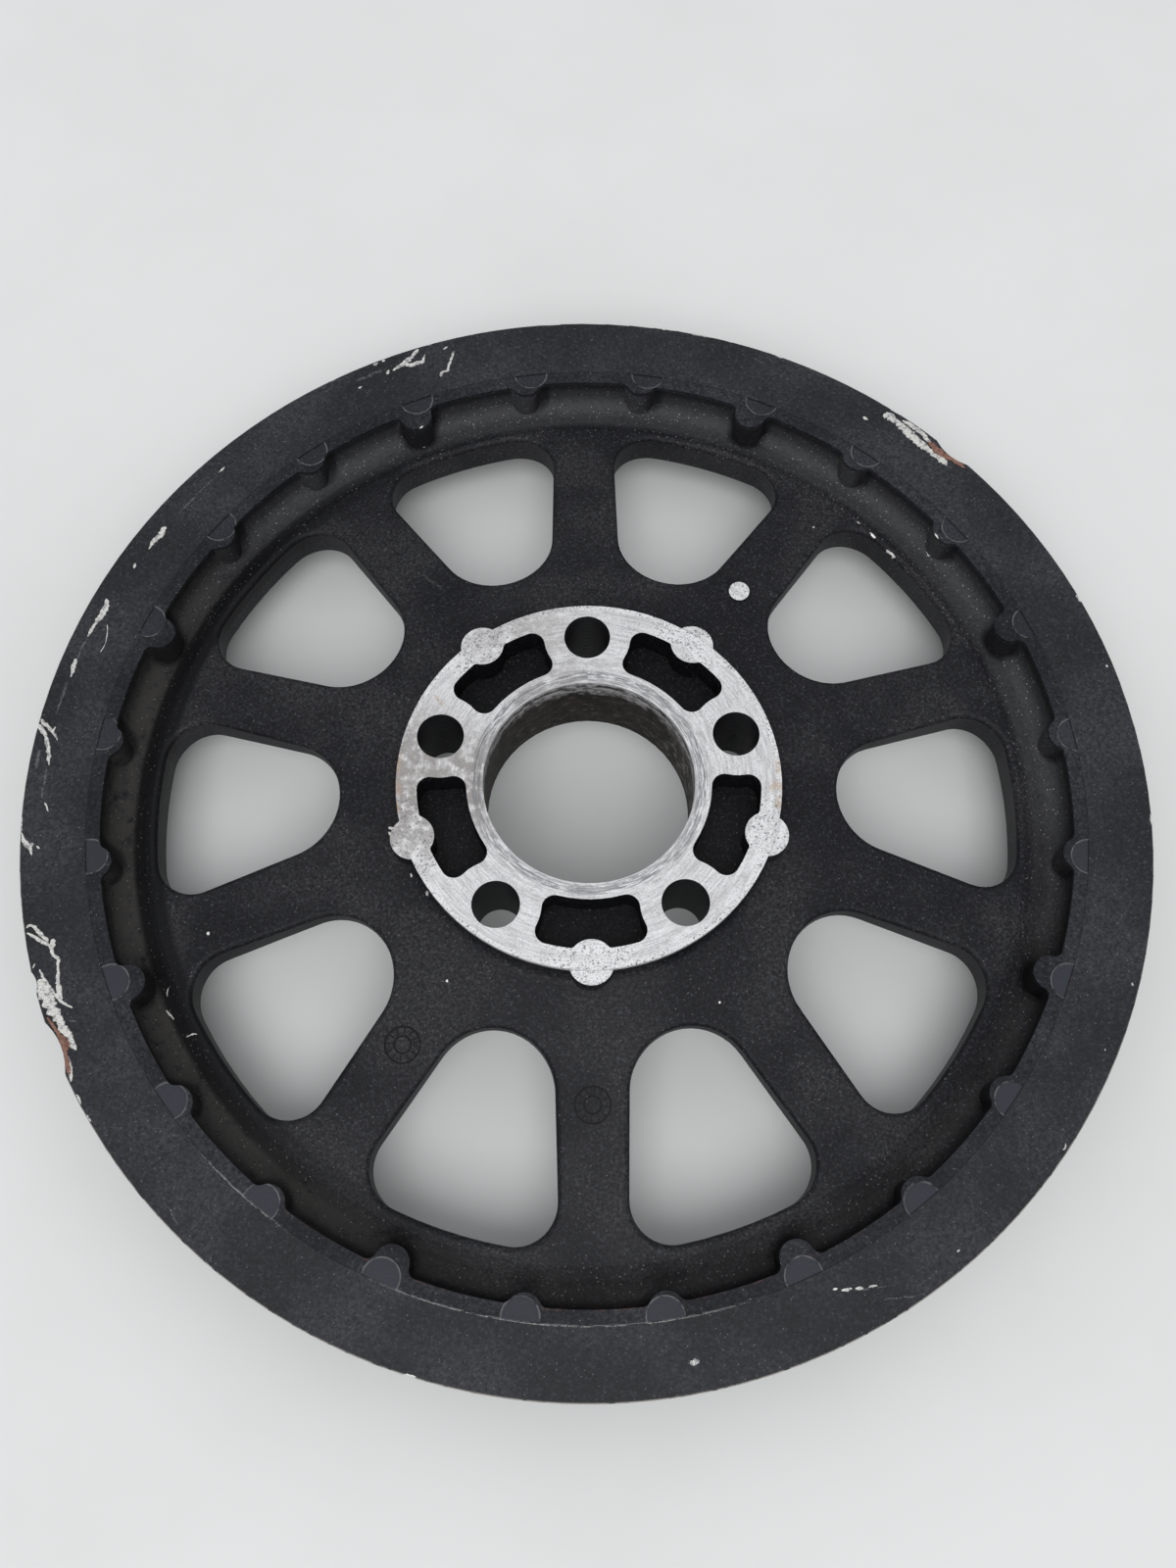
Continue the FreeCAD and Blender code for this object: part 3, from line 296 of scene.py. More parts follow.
class Graph:
    """Nodes of one material or world.  Sockets are linked, and plain values are set."""

    def __init__(self, owner):
        owner.use_nodes = True
        self.owner = owner
        self.nodes = owner.node_tree.nodes
        self.links = owner.node_tree.links
        self.nodes.clear()

    def feed(self, socket, value):
        """Link a socket to a value's socket, or set it."""
        if isinstance(value, bpy.types.NodeSocket):
            self.links.new(value, socket)
        else:
            socket.default_value = value

    def node(self, kind, *values, **settings):
        """New node with its settings and its first inputs."""
        made = self.nodes.new(kind)
        for name, value in settings.items():
            setattr(made, name, value)
        for socket, value in zip(made.inputs, values):
            self.feed(socket, value)
        return made

    def math(self, operation, *values):
        return self.node("ShaderNodeMath", *values, operation=operation).outputs[0]

    def add(self, a, b):
        return self.math("ADD", a, b)

    def sub(self, a, b):
        return self.math("SUBTRACT", a, b)

    def mul(self, a, b):
        return self.math("MULTIPLY", a, b)

    def least(self, a, b):
        return self.math("MINIMUM", a, b)

    def most(self, *masks):
        """Largest of several masks."""
        result = masks[0]
        for mask in masks[1:]:
            result = self.math("MAXIMUM", result, mask)
        return result

    def both(self, *masks):
        """Product of several masks."""
        result = masks[0]
        for mask in masks[1:]:
            result = self.mul(result, mask)
        return result

    def rest(self, mask):
        """Everything outside a mask."""
        return self.sub(1.0, mask)

    def step(self, value, low, high):
        """Smooth step: 0 at low, 1 at high, and the other way round if low is the larger."""
        made = self.node("ShaderNodeMapRange", value, low, high, 0.0, 1.0,
                         interpolation_type="SMOOTHSTEP")
        return made.outputs[0]

    def band(self, value, low, high, soft):
        """1 between two limits, with soft ends."""
        return self.mul(self.step(value, low - soft, low + soft),
                        self.step(value, high + soft, high - soft))

    def vector(self, operation, a, b=None, scale=None):
        made = self.node("ShaderNodeVectorMath", a, operation=operation)
        if b is not None:
            self.feed(made.inputs[1], b)
        if scale is not None:
            self.feed(made.inputs["Scale"], scale)
        return made.outputs["Value" if operation in ("LENGTH", "DISTANCE") else "Vector"]

    def join(self, x, y, z):
        return self.node("ShaderNodeCombineXYZ", x, y, z).outputs[0]

    def split(self, vector):
        return self.node("ShaderNodeSeparateXYZ", vector).outputs

    def bearing(self, vector):
        """Angle of a vector clockwise from +Y, in radians."""
        x, y = self.split(vector)[:2]
        return self.math("ARCTAN2", x, y)

    def noise(self, vector, scale, detail=2.0, rough=0.5):
        made = self.node("ShaderNodeTexNoise")
        self.feed(made.inputs["Vector"], vector)
        self.feed(made.inputs["Scale"], scale)
        self.feed(made.inputs["Detail"], detail)
        self.feed(made.inputs["Roughness"], rough)
        return made

    def grain(self, vector, scale, detail=2.0, rough=0.5):
        return self.noise(vector, scale, detail, rough).outputs[0]

    def cells(self, vector, scale):
        """Distance to the nearest of scattered points, in cell widths."""
        made = self.node("ShaderNodeTexVoronoi")
        self.feed(made.inputs["Vector"], vector)
        self.feed(made.inputs["Scale"], scale)
        return made.outputs["Distance"]

    def mix(self, mask, a, b):
        """Colour b over colour a."""
        made = self.node("ShaderNodeMix", data_type="RGBA")
        self.feed(made.inputs[0], mask)
        self.feed(made.inputs[6], a)
        self.feed(made.inputs[7], b)
        return made.outputs[2]

    def blend(self, mask, a, b):
        """Number b over number a."""
        made = self.node("ShaderNodeMix", data_type="FLOAT")
        self.feed(made.inputs[0], mask)
        self.feed(made.inputs[2], a)
        self.feed(made.inputs[3], b)
        return made.outputs[0]

    def jitter(self, vector, scale, amount):
        """Vector shifted by noise, so that edges drawn with it are ragged."""
        colour = self.noise(vector, scale, 1.5, 0.6).outputs[1]
        shift = self.vector("SUBTRACT", colour, (0.5, 0.5, 0.5))
        return self.vector("ADD", vector, self.vector("SCALE", shift, scale=amount))

    def marks(self, flat, marks):
        """Distance to the nearest of several oval marks, in units of each one's own size.

        Each mark takes in the result of the one before, so that they are worked out one by one.
        """
        nearest = 100.0
        for clock, radius, along, across, turn in marks:
            start = self.node("ShaderNodeVectorMath", self.join(0.0, 0.0, nearest), (0, 0, 1e-6), flat,
                              operation="MULTIPLY_ADD").outputs[0]
            made = self.node("ShaderNodeMapping", start, vector_type="TEXTURE")
            made.inputs["Location"].default_value = on_circle(radius, clock)
            made.inputs["Rotation"].default_value = (0, 0, math.radians(turn - clock))
            made.inputs["Scale"].default_value = (along, across, 1)
            nearest = self.least(nearest, self.vector("LENGTH", made.outputs[0]))
        return nearest


class Surface(Graph):
    """Material on the pulley, with the place on it in millimetres and as radius and clock angle.

    Its colour and roughness start as one layer, and the others are laid over it with masks.
    """

    def __init__(self, name):
        super().__init__(bpy.data.materials.new(name))
        coordinates = self.node("ShaderNodeTexCoord").outputs["Object"]
        self.place = self.vector("SCALE", coordinates, scale=1 / MM)
        self.x, self.y, self.z = self.split(self.place)
        self.flat = self.join(self.x, self.y, 0.0)
        self.radius = self.vector("LENGTH", self.flat)
        turn = self.math("DEGREES", self.bearing(self.place))
        self.clock = self.math("MODULO", self.add(turn, 360.0), 360.0)
        self.up = self.split(self.node("ShaderNodeNewGeometry").outputs["Normal"])[2]
        self.fine = self.grain(self.place, *FINE_NOISE)
        self.specks = self.cells(self.place, SPECKS_PER_MM)

    def paint(self, mask, colour):
        """Lay a colour over what is there."""
        self.colour = self.mix(mask, self.colour, colour)

    def roughen(self, mask, roughness):
        """Lay a roughness over what is there."""
        self.roughness = self.blend(mask, self.roughness, roughness)

    def sector(self, first, step):
        """Clock angle from the nearest of evenly spread places, in degrees either way."""
        turned = self.math("MODULO", self.add(self.clock, 360.0 - first + step / 2), step)
        return self.sub(turned, step / 2)

    def local(self, angle, radius, circle):
        """Distance from the middle of the nearest place on a circle, given its sector angle."""
        radians = self.math("RADIANS", angle)
        aside = self.mul(radius, self.math("SINE", radians))
        out = self.sub(self.mul(radius, self.math("COSINE", radians)), circle)
        return self.vector("LENGTH", self.join(aside, out, 0.0))

    def between(self, *ranges):
        """Mask of the parts between clock angles."""
        return self.most(*[self.band(self.clock, *ends) for ends in ranges])

    def turned(self, out, along, offset=0.0):
        """Place for noise that runs round the axis."""
        return self.join(self.mul(self.radius, out), self.mul(self.clock, along), offset)

    def chips(self, flat, marks):
        """Mask of marks with sharp edges."""
        return self.step(self.marks(flat, marks), 1.12, 0.88)

    def scratches(self, flat, marks):
        """Mask of marks that fade towards their edges."""
        return self.step(self.marks(flat, marks), 1.1, 0.6)

    def lay_coat(self, dark, light):
        """Start with the grainy black coat and its dust."""
        wide = self.grain(self.place, *WIDE_NOISE)
        self.colour = self.mix(self.step(wide, 0.35, 0.65), dark, light)
        self.paint(self.mul(self.step(self.fine, 0.51, 0.70), 0.75), GRIT)
        self.paint(self.mul(self.step(self.fine, 0.48, 0.34), 0.75), DARK_GRAIN_AND_SHADE)
        haze = self.both(self.step(wide, 0.42, 0.62), self.step(self.fine, 0.42, 0.72), 0.10)
        self.paint(haze, DUST)
        specks = self.both(self.step(self.specks, 0.125, 0.06), self.step(self.fine, 0.40, 0.56), 0.45)
        self.paint(specks, PALE_SPECK)
        self.roughness = self.blend(haze, self.blend(self.fine, 0.46, 0.60), 0.9)

    def finish(self, metallic, height, depth, gloss):
        """Material from the finished masks; depth is the relief's height in millimetres."""
        shader = self.node("ShaderNodeBsdfPrincipled")
        self.feed(shader.inputs["Base Color"], self.colour)
        self.feed(shader.inputs["Roughness"], self.roughness)
        self.feed(shader.inputs["Metallic"], metallic)
        shader.inputs["Specular IOR Level"].default_value = gloss
        bump = self.node("ShaderNodeBump")
        bump.inputs["Strength"].default_value = 1.0
        bump.inputs["Distance"].default_value = depth * MM
        self.feed(bump.inputs["Height"], height)
        self.feed(shader.inputs["Normal"], bump.outputs[0])
        self.node("ShaderNodeOutputMaterial", shader.outputs[0])
        return self.owner


def ring_material():
    """Coated steel of the flange ring, with its chips, scratches, worn edge and belt marks."""
    s = Surface("coated_flange_ring")
    s.lay_coat(COAT_DARK, COAT_LIGHT)
    ragged = s.jitter(s.flat, 0.6, 1.0)
    worn_noise = s.grain(s.place, *WORN_NOISE)
    top = s.step(s.z, SHOULDER_Z + 0.2, SHOULDER_Z + 0.5)

    # Front: chips and broken scratches
    chips = s.mul(s.chips(ragged, RING_CHIPS), top)
    scratches = s.both(s.scratches(ragged, RING_SCRATCHES), s.step(s.fine, 0.38, 0.58), top, 0.30)

    # Outer edge, worn most where it has been rubbed
    edge = s.step(s.radius, FLANGE_RADIUS - 0.42, FLANGE_RADIUS - 0.22)
    corner = s.step(s.z, RIM_FRONT_Z - 0.9, RIM_FRONT_Z - 0.6)
    edge_wear = s.both(edge, corner, s.step(worn_noise, 0.34, 0.50),
                       s.blend(s.between(*WORN_EDGE), 0.25, 0.85))

    # Seam beside the casting's rim: a dark line, bright where it is worn
    seam = s.step(s.radius, SEAM_RADIUS + 0.32, SEAM_RADIUS + 0.10)
    worn_seam = s.both(seam, s.between(*WORN_SEAM), s.step(worn_noise, 0.40, 0.52), 0.55)
    dark_seam = s.mul(s.step(s.radius, SEAM_RADIUS + 0.24, SEAM_RADIUS + 0.12), s.rest(worn_seam))

    # Side towards the belt, rubbed by it
    belt = s.both(s.band(s.radius, TIP_RADIUS - 2.2, FLANGE_RADIUS - 1.6, 0.6), s.rest(top),
                  s.step(worn_noise, 0.38, 0.62), 0.8)

    bare = s.most(chips, worn_seam, belt)
    s.paint(scratches, BARE_STEEL_DARK)
    s.paint(edge_wear, EDGE_STEEL)
    s.paint(bare, s.mix(s.step(s.fine, 0.38, 0.62), BARE_STEEL_DARK, BARE_STEEL))
    s.paint(s.mul(dark_seam, 0.3), COAT_DARK)
    s.roughen(bare, 0.42)
    return s.finish(s.mul(bare, 0.45), s.mul(s.fine, RING_GRAIN), RELIEF, RING_GLOSS)


def torn_material(name, light, dark, metallic):
    """Rough torn metal in two colours."""
    s = Surface(name)
    coarse = s.grain(s.place, *TORN_NOISE)
    frayed = s.grain(s.place, *FRAYED_NOISE)
    s.colour = s.mix(s.step(coarse, 0.52, 0.36), light, dark)
    s.paint(s.mul(s.step(frayed, 0.50, 0.36), 0.6), dark)
    s.roughness = s.blend(frayed, 0.40, 0.75)
    return s.finish(metallic, frayed, TORN_RELIEF, RING_GLOSS)


class Casting(Surface):
    """Coated casting with its turned hub face, bore, holes, channel, stake marks and teeth."""

    def __init__(self):
        super().__init__("coated_casting")
        self.ragged = self.jitter(self.flat, 0.6, 1.2)
        self.patchy = self.grain(self.place, *PATCHY_NOISE)
        self.level = self.step(self.up, 0.5, 0.8)
        self.front = self.step(self.z, RIM_FRONT_Z - 1.2, RIM_FRONT_Z - 0.8)
        self.low = self.step(self.z, RIM_FRONT_Z - 0.4, RIM_FRONT_Z - 2.0)
        self.in_rim = self.step(self.radius, RIM_BORE + 0.6, RIM_BORE + 0.2)
        # The rim's front face, from the lobes out to the seam, takes the ring's lighter coat: painted
        # sheen that brightens this level face
        strip = self.mul(self.front, self.step(self.radius, RIM_BORE - 8.0, RIM_BORE - 7.0))
        self.lay_coat(self.mix(strip, CAST_DARK, COAT_DARK), self.mix(strip, CAST_LIGHT, COAT_LIGHT))

    def paint_channel(self):
        """Channel beside the rim: brown dirt at the left, pale dust with painted light on the far side,
        and painted shade below the window lip, under the deep lobes and on the rim's inner face.
        """
        inside = self.both(self.step(self.radius, LIP_RADIUS - 0.5, CHANNEL_RADIUS - 2.0),
                           self.in_rim, self.step(self.z, 17.0, 19.0))
        # The far side of the channel is painted paler: pale dust, and painted light where that side faces
        # the light
        far = self.most(self.step(self.clock, 292, 325), self.step(self.clock, 112, 80))
        dirt = self.both(inside, self.low, self.step(self.patchy, 0.24, 0.52),
                         self.blend(self.between(BROWN_CHANNEL), 0.25, 0.9))
        self.paint(dirt, CHANNEL_DIRT)
        dust_and_light = self.both(inside, self.low, far, self.blend(self.patchy, 0.55, 1.0),
                          self.blend(self.step(self.fine, 0.34, 0.62), 0.6, 1.0))
        self.paint(dust_and_light, CHANNEL_DUST_AND_LIGHT)
        # Painted shade on the falling face between the window lip and the channel floor, at the left
        slope_shade = self.both(self.band(self.radius, LIP_RADIUS - 4.0, CHANNEL_RADIUS - 1.5, 1.0),
                          self.between(SHADED_SLOPE), self.step(self.z, 21.0, 22.5), 0.90)
        self.paint(slope_shade, DARK_GRAIN_AND_SHADE)
        # Pale crumbs, stronger on the far side, where they also add painted light
        crumbs = self.both(self.step(self.radius, WINDOW_OUTER - 3.0, CHANNEL_RADIUS - 1.0), self.low,
                           self.in_rim, self.step(self.specks, 0.20, 0.10),
                           self.step(self.fine, 0.42, 0.56))
        self.paint(self.mul(crumbs, self.blend(far, 0.25, 0.75)), PALE_SPECK)
        spots = self.both(inside, self.step(self.radius, RIM_BORE - 1.6, RIM_BORE - 0.2),
                          self.between(RUSTY_CHANNEL), self.step(self.patchy, 0.52, 0.62))
        self.paint(self.mul(spots, 0.28), RUST)
        self.roughen(self.most(dirt, crumbs), 0.92)

        lobe = self.sector(DEEP_LOBE_CLOCK, DEEP_LOBE_STEP)
        from_deep = self.local(lobe, self.radius, DEEP_LOBE_CIRCLE)
        shadow_under_deep = self.step(from_deep, LOBE_ROUND + 2.6, LOBE_ROUND)
        wall_foot_shade = self.mul(self.step(self.radius, RIM_BORE - 2.6, RIM_BORE - 0.4),
                             self.between(SHADED_WALL_FOOT))
        wall_top_shade = self.both(self.step(self.radius, RIM_BORE - 0.5, RIM_BORE - 0.15),
                         self.step(self.z, RIM_FRONT_Z - 6.5, RIM_FRONT_Z - 1.5))
        # Painted shade under the deep lobes, at the foot of the rim's inner face on the near side, and
        # just below the rim's front
        corner = self.both(self.most(shadow_under_deep, wall_foot_shade, wall_top_shade), self.low,
                           self.step(self.radius, WINDOW_OUTER - 2.0, WINDOW_OUTER), self.in_rim, 0.75)
        self.paint(corner, DARK_GRAIN_AND_SHADE)

    def paint_stakes(self):
        """Stake marks: smooth half-moons with painted sheen, a light line round them that is partly
        painted highlight, painted shadow below them, and the seam beside them.
        """
        shifted = self.vector("SUBTRACT", self.flat, (STAKE_SHIFT, STAKE_SHIFT, 0.0))
        clock = self.math("DEGREES", self.bearing(shifted))
        turned = self.math("MODULO", self.add(clock, 360.0 - STAKE_TURN), STAKE_STEP)
        from_stake = self.local(self.sub(turned, STAKE_STEP / 2), self.vector("LENGTH", shifted),
                                STAKE_CIRCLE)
        in_stake = self.both(self.step(from_stake, STAKE_PUNCH, STAKE_PUNCH - 0.12), self.front,
                             self.step(self.z, STAKE_Z + 0.2, STAKE_Z + 0.1))
        # Painted shadow below each lobe, under the stake marks
        shadow_under_stake = self.both(self.step(from_stake, 7.6, 5.6), self.low, self.in_rim)
        self.paint(self.mul(shadow_under_stake, 0.7), DARK_GRAIN_AND_SHADE)
        # Painted sheen: the smooth half-moons are painted grey, much more on the near side, as their
        # reflection of the sky
        near_side_sheen = self.step(self.y, 70.0, -60.0)
        self.paint(self.mul(in_stake, self.blend(near_side_sheen, 0.25, 0.85)), STAKE_SHEEN)
        self.roughen(self.mul(in_stake, 0.8), 0.42)
        # Light line round each half-moon: partly worn coat, partly painted highlight on the raised edge
        # left by the punch
        outline_wear_and_highlight = self.math("ABSOLUTE", self.sub(from_stake, STAKE_PUNCH + 0.05))
        outline_wear_and_highlight = self.both(self.step(outline_wear_and_highlight, 0.30, 0.10), self.front,
                            self.step(self.patchy, 0.36, 0.56))
        self.paint(self.mul(outline_wear_and_highlight, 0.42), BARE_STEEL_DARK)
        seam = self.both(self.step(self.radius, SEAM_RADIUS - 0.28, SEAM_RADIUS - 0.14), self.front)
        worn = self.between(*WORN_SEAM)
        self.paint(self.both(seam, self.rest(worn), 0.3), COAT_DARK)
        self.paint(self.both(seam, worn, self.step(self.patchy, 0.42, 0.52), 0.5), BARE_STEEL_DARK)

    def paint_wheels(self):
        """Round mould marks: two rings and plain ticks between them, drawn dark as painted shade."""
        for clock in WHEEL_CLOCKS:
            off_wheel = self.vector("SUBTRACT", self.flat, on_circle(WHEEL_CIRCLE, clock))
            from_wheel = self.vector("LENGTH", off_wheel)
            spin = self.mul(self.bearing(off_wheel), float(WHEEL_TICKS))
            tick = self.step(self.math("SINE", spin), 0.55, 0.85)
            lines = self.mul(tick, self.band(from_wheel, 2.7, 4.2, 0.1))
            for inner, outer in WHEEL_RINGS:
                lines = self.most(lines, self.band(from_wheel, inner, outer, 0.12))
            # Painted shade in the marks' lines, on level faces only
            self.paint(self.both(lines, self.level, 0.9), DARK_GRAIN_AND_SHADE)

    def paint_pockets(self):
        """Pockets of the hub: darkened with painted shade, with pale grains on their floors."""
        shaded_pocket = self.both(self.band(self.radius, POCKET_INNER - 0.3, POCKET_OUTER + 0.3, 0.1),
                           self.band(self.z, HUB_FACE_Z - 12.0, HUB_FACE_Z - 0.15, 0.1))
        # Near black mixed in as painted shade in the hollows
        colour = self.mix(self.step(self.fine, 0.45, 0.70), DARK_GRAIN_AND_SHADE, CAST_LIGHT)
        grains = self.both(self.step(self.specks, 0.16, 0.08), self.step(self.fine, 0.38, 0.58))
        self.paint(shaded_pocket, self.mix(self.mul(grains, 0.55), colour, DUST))

    def paint_chips(self):
        """Chips and scratches of the coat.  The chips' mask is given back."""
        scratches = self.both(self.scratches(self.ragged, CASTING_SCRATCHES),
                              self.step(self.fine, 0.40, 0.56), 0.16)
        self.paint(scratches, DUST)
        chips = self.both(self.chips(self.ragged, CASTING_CHIPS), self.step(self.up, 0.05, 0.30))
        self.paint(chips, BARE_STEEL)
        return chips

    def paint_teeth(self):
        """Toothed rim: dirt in the grooves, worn tips, and the back flange rubbed by the belt.

        The mask of the worn parts is given back.
        """
        drive = self.both(self.step(self.radius, GROOVE_ROOT - 1.0, GROOVE_ROOT - 0.6),
                          self.band(self.z, BACK_FLANGE_Z + 0.05, SHOULDER_Z - 0.05, 0.05),
                          self.step(self.radius, TIP_RADIUS + 0.3, TIP_RADIUS + 0.1))
        along = self.join(self.mul(self.x, 0.9), self.mul(self.y, 0.9), self.mul(self.z, 0.12))
        streaks = self.grain(along, 1.0, 3.0, 0.6)
        tips = self.mul(self.step(self.radius, TIP_RADIUS - 1.6, TIP_RADIUS - 0.2),
                        self.step(streaks, 0.30, 0.56))
        flanks = self.mul(self.step(self.radius, GROOVE_ROOT + 0.4, TIP_RADIUS - 1.0),
                          self.step(streaks, 0.44, 0.66))
        worn = self.both(drive, self.most(tips, flanks))
        self.paint(self.mul(drive, 0.8), TOOTH_DIRT)
        self.paint(self.mul(worn, 0.75), TOOTH_METAL)
        rubbed = self.both(self.band(self.radius, TIP_RADIUS + 0.4, FLANGE_RADIUS - 1.8, 0.6),
                           self.band(self.z, BACK_FLANGE_Z - 0.2, BACK_FLANGE_Z + 0.3, 0.1),
                           self.step(self.patchy, 0.38, 0.60), 0.75)
        self.paint(rubbed, TOOTH_METAL)
        return self.most(worn, rubbed)

    def machined_faces(self, in_hole, in_bore):
        """Mask of the hub's front with the bosses' crescents, the hub's back and the small pad."""
        skin = self.most(self.level, self.step(self.radius, HUB_RADIUS - 0.3, HUB_RADIUS - 0.15),
                         self.step(self.radius, BORE_STEP_RADIUS + 0.2, BORE_STEP_RADIUS + 0.1))
        front = self.both(self.step(self.z, EDGE_BOSS_Z - 0.25, EDGE_BOSS_Z - 0.12), skin,
                          self.rest(in_hole), self.rest(in_bore))
        back = self.both(self.step(self.z, HUB_BACK_Z + 0.3, HUB_BACK_Z + 0.1),
                         self.step(self.up, -0.5, -0.8),
                         self.step(self.radius, HUB_RADIUS - 0.9, HUB_RADIUS - 1.1),
                         self.step(self.z, 10.0, 12.0))
        from_pad = self.vector("DISTANCE", self.flat, on_circle(WITNESS_RADIUS, WITNESS_CLOCK))
        pad = self.both(self.step(from_pad, WITNESS_PAD + 0.05, WITNESS_PAD - 0.1),
                        self.step(self.z, WITNESS_Z - 0.3, WITNESS_Z - 0.15))
        return self.most(front, back, pad)

    def turned_metal(self, lathe, sanded, pits, stain):
        """Colour of the machined faces: turning lines, grey worn parts, speckles, pits and stains."""
        lines = self.mul(self.step(lathe, 0.36, 0.70), self.blend(sanded, 0.80, 0.30))
        metal = self.mix(lines, HUB_METAL, HUB_METAL_DARK)
        broad = self.grain(self.turned(0.55, 0.035), 1.0, 2.0, 0.6)
        metal = self.mix(self.mul(self.step(broad, 0.46, 0.66), 0.40), metal, HUB_METAL_DARK)
        greyer = self.most(self.between(GREY_HUB), self.mul(self.between(GREY_HUB_FAINT), 0.50))
        metal = self.mix(self.mul(greyer, self.step(self.patchy, 0.30, 0.56)), metal, HUB_WORN)
        speckle = self.both(self.step(self.grain(self.place, *SPECKLE_NOISE), 0.48, 0.62),
                            self.blend(sanded, 0.42, 0.85),
                            self.blend(self.step(self.patchy, 0.40, 0.60), 0.45, 1.0))
        metal = self.mix(speckle, metal, PIT)
        metal = self.mix(pits, metal, PIT)
        mouth = self.band(self.radius, BORE_RADIUS + 0.5, BORE_STEP_RADIUS + 0.6, 0.35)
        metal = self.mix(self.both(mouth, self.step(lathe, 0.40, 0.58), 0.75), metal, BARE_STEEL_DARK)
        groove = self.step(self.grain(self.turned(2.6, 0.035, 5.0), 1.0, 2.0), 0.54, 0.64)
        groove = self.both(self.step(self.radius, BORE_STEP_RADIUS + 2.2, BORE_STEP_RADIUS + 0.2),
                           groove, 0.65)
        metal = self.mix(groove, metal, PIT)
        return self.mix(stain, metal, HUB_STAIN)

    def bore_colour(self):
        """Colour of the bore: brown dirt, grey towards its mouth, with a black line below that."""
        along = self.join(self.mul(self.clock, 0.14), self.mul(self.z, 0.55), 0.0)
        streaks = self.grain(along, 1.0, 3.0, 0.75)
        colour = self.mix(self.step(self.patchy, 0.36, 0.60), BORE_BLACK, BORE_DIRT)
        colour = self.mix(self.mul(self.step(streaks, 0.52, 0.72), 0.30), colour, BORE_STREAK)
        near_mouth = self.add(self.z, self.mul(self.sub(self.patchy, 0.5), 9.0))
        near_mouth = self.step(near_mouth, HUB_FACE_Z - 8.5, HUB_FACE_Z - 4.0)
        grey = self.both(near_mouth, self.step(streaks, 0.34, 0.60), 0.95)
        colour = self.mix(grey, colour, HUB_METAL_DARK)
        wavy = self.add(self.z, self.mul(self.sub(streaks, 0.5), 5.0))
        black_line = self.step(self.math("ABSOLUTE", self.sub(wavy, HUB_FACE_Z - 2.6)), 0.55, 0.20)
        colour = self.mix(self.mul(black_line, 0.85), colour, BORE_BLACK)
        scuff = self.both(self.between(SCUFFED_BORE), self.band(self.z, 24, 36, 4),
                          self.step(self.patchy, 0.46, 0.62), 0.55)
        colour = self.mix(scuff, colour, BORE_STREAK)
        mouth_edge = self.step(self.z, HUB_FACE_Z - 1.4, HUB_FACE_Z - 0.6)
        return self.mix(self.mul(mouth_edge, 0.7), colour, HUB_METAL_DARK)

    def build(self):
        """The whole material."""
        self.paint_channel()
        self.paint_stakes()
        self.paint_wheels()
        self.paint_pockets()
        chips = self.paint_chips()
        worn = self.paint_teeth()

        from_hole = self.local(self.sector(0.0, BOLT_STEP), self.radius, BOLT_RADIUS)
        in_hole = self.both(self.step(from_hole, BOLT_HOLE_RADIUS + 0.10, BOLT_HOLE_RADIUS + 0.04),
                            self.rest(self.level))
        in_bore = self.step(self.radius, BORE_RADIUS + 0.12, BORE_RADIUS + 0.04)
        machined = self.machined_faces(in_hole, in_bore)

        # Bosses at the hub's edge and its outer border, rougher than the turned rest
        from_boss = self.local(self.sector(BOLT_STEP / 2, BOLT_STEP), self.radius, EDGE_BOSS_RADIUS)
        sanded = self.most(self.step(from_boss, 13.0, 9.0),
                           self.step(self.radius, HUB_RADIUS - 1.6, HUB_RADIUS - 0.8))
        sanded = self.mul(sanded, self.step(self.radius, 42.0, 44.5))
        lathe = self.grain(self.turned(2.3, 0.11), 1.0, 3.0, 0.75)
        pits = self.both(self.step(self.specks, 0.28, 0.15), self.blend(sanded, 0.16, 0.85))
        stain = self.both(self.step(self.marks(self.ragged, HUB_STAINS), 1.5, 0.3),
                          self.step(self.fine, 0.34, 0.56), 0.65)

        # Bolt holes: dark metal with the drill's rings
        drill = self.math("SINE", self.mul(self.z, 2 * math.pi / DRILL_PITCH))
        rings = self.step(self.add(drill, self.mul(self.sub(self.patchy, 0.5), 3.0)), -0.4, 0.9)

        self.paint(machined, self.turned_metal(lathe, sanded, pits, stain))
        self.paint(in_bore, self.bore_colour())
        self.paint(in_hole, self.mix(self.mul(rings, 0.6), COAT_DARK, HOLE_METAL))
        self.roughen(self.most(chips, worn), 0.42)
        self.roughen(machined, self.blend(self.most(lathe, sanded), 0.34, 0.52))
        self.roughen(in_bore, 0.62)
        self.roughen(in_hole, 0.45)
        metallic = self.most(self.mul(machined, self.blend(sanded, 0.60, 0.40)), self.mul(worn, 0.8),
                             self.mul(in_hole, 0.6), self.mul(chips, 0.45))
        metallic = self.mul(metallic, self.rest(self.mul(self.most(pits, stain), machined)))
        metal_height = self.sub(self.mul(lathe, LATHE_GROOVE), self.mul(pits, PIT_DEPTH))
        height = self.blend(machined, self.mul(self.fine, CAST_GRAIN), metal_height)
        height = self.blend(in_hole, height, self.mul(drill, DRILL_GROOVE))
        return self.finish(metallic, height, RELIEF, CAST_GLOSS)


def dress(node, material):
    """Give a piece of the frame its material."""
    node.data.materials.clear()
    node.data.materials.append(material)


def ring_edge(clock):
    """Radius of the ring's worn outer edge at a clock angle."""
    edge = FLANGE_RADIUS
    for middle, depth, curve in EDGE_BITES:
        turn = math.radians((clock - middle + 180.0) % 360.0 - 180.0)
        centre = FLANGE_RADIUS - depth + curve
        aside = centre * math.sin(turn)
        if abs(aside) < curve and abs(turn) < 0.5:
            edge = min(edge, centre * math.cos(turn) - math.sqrt(curve * curve - aside * aside))
    return edge


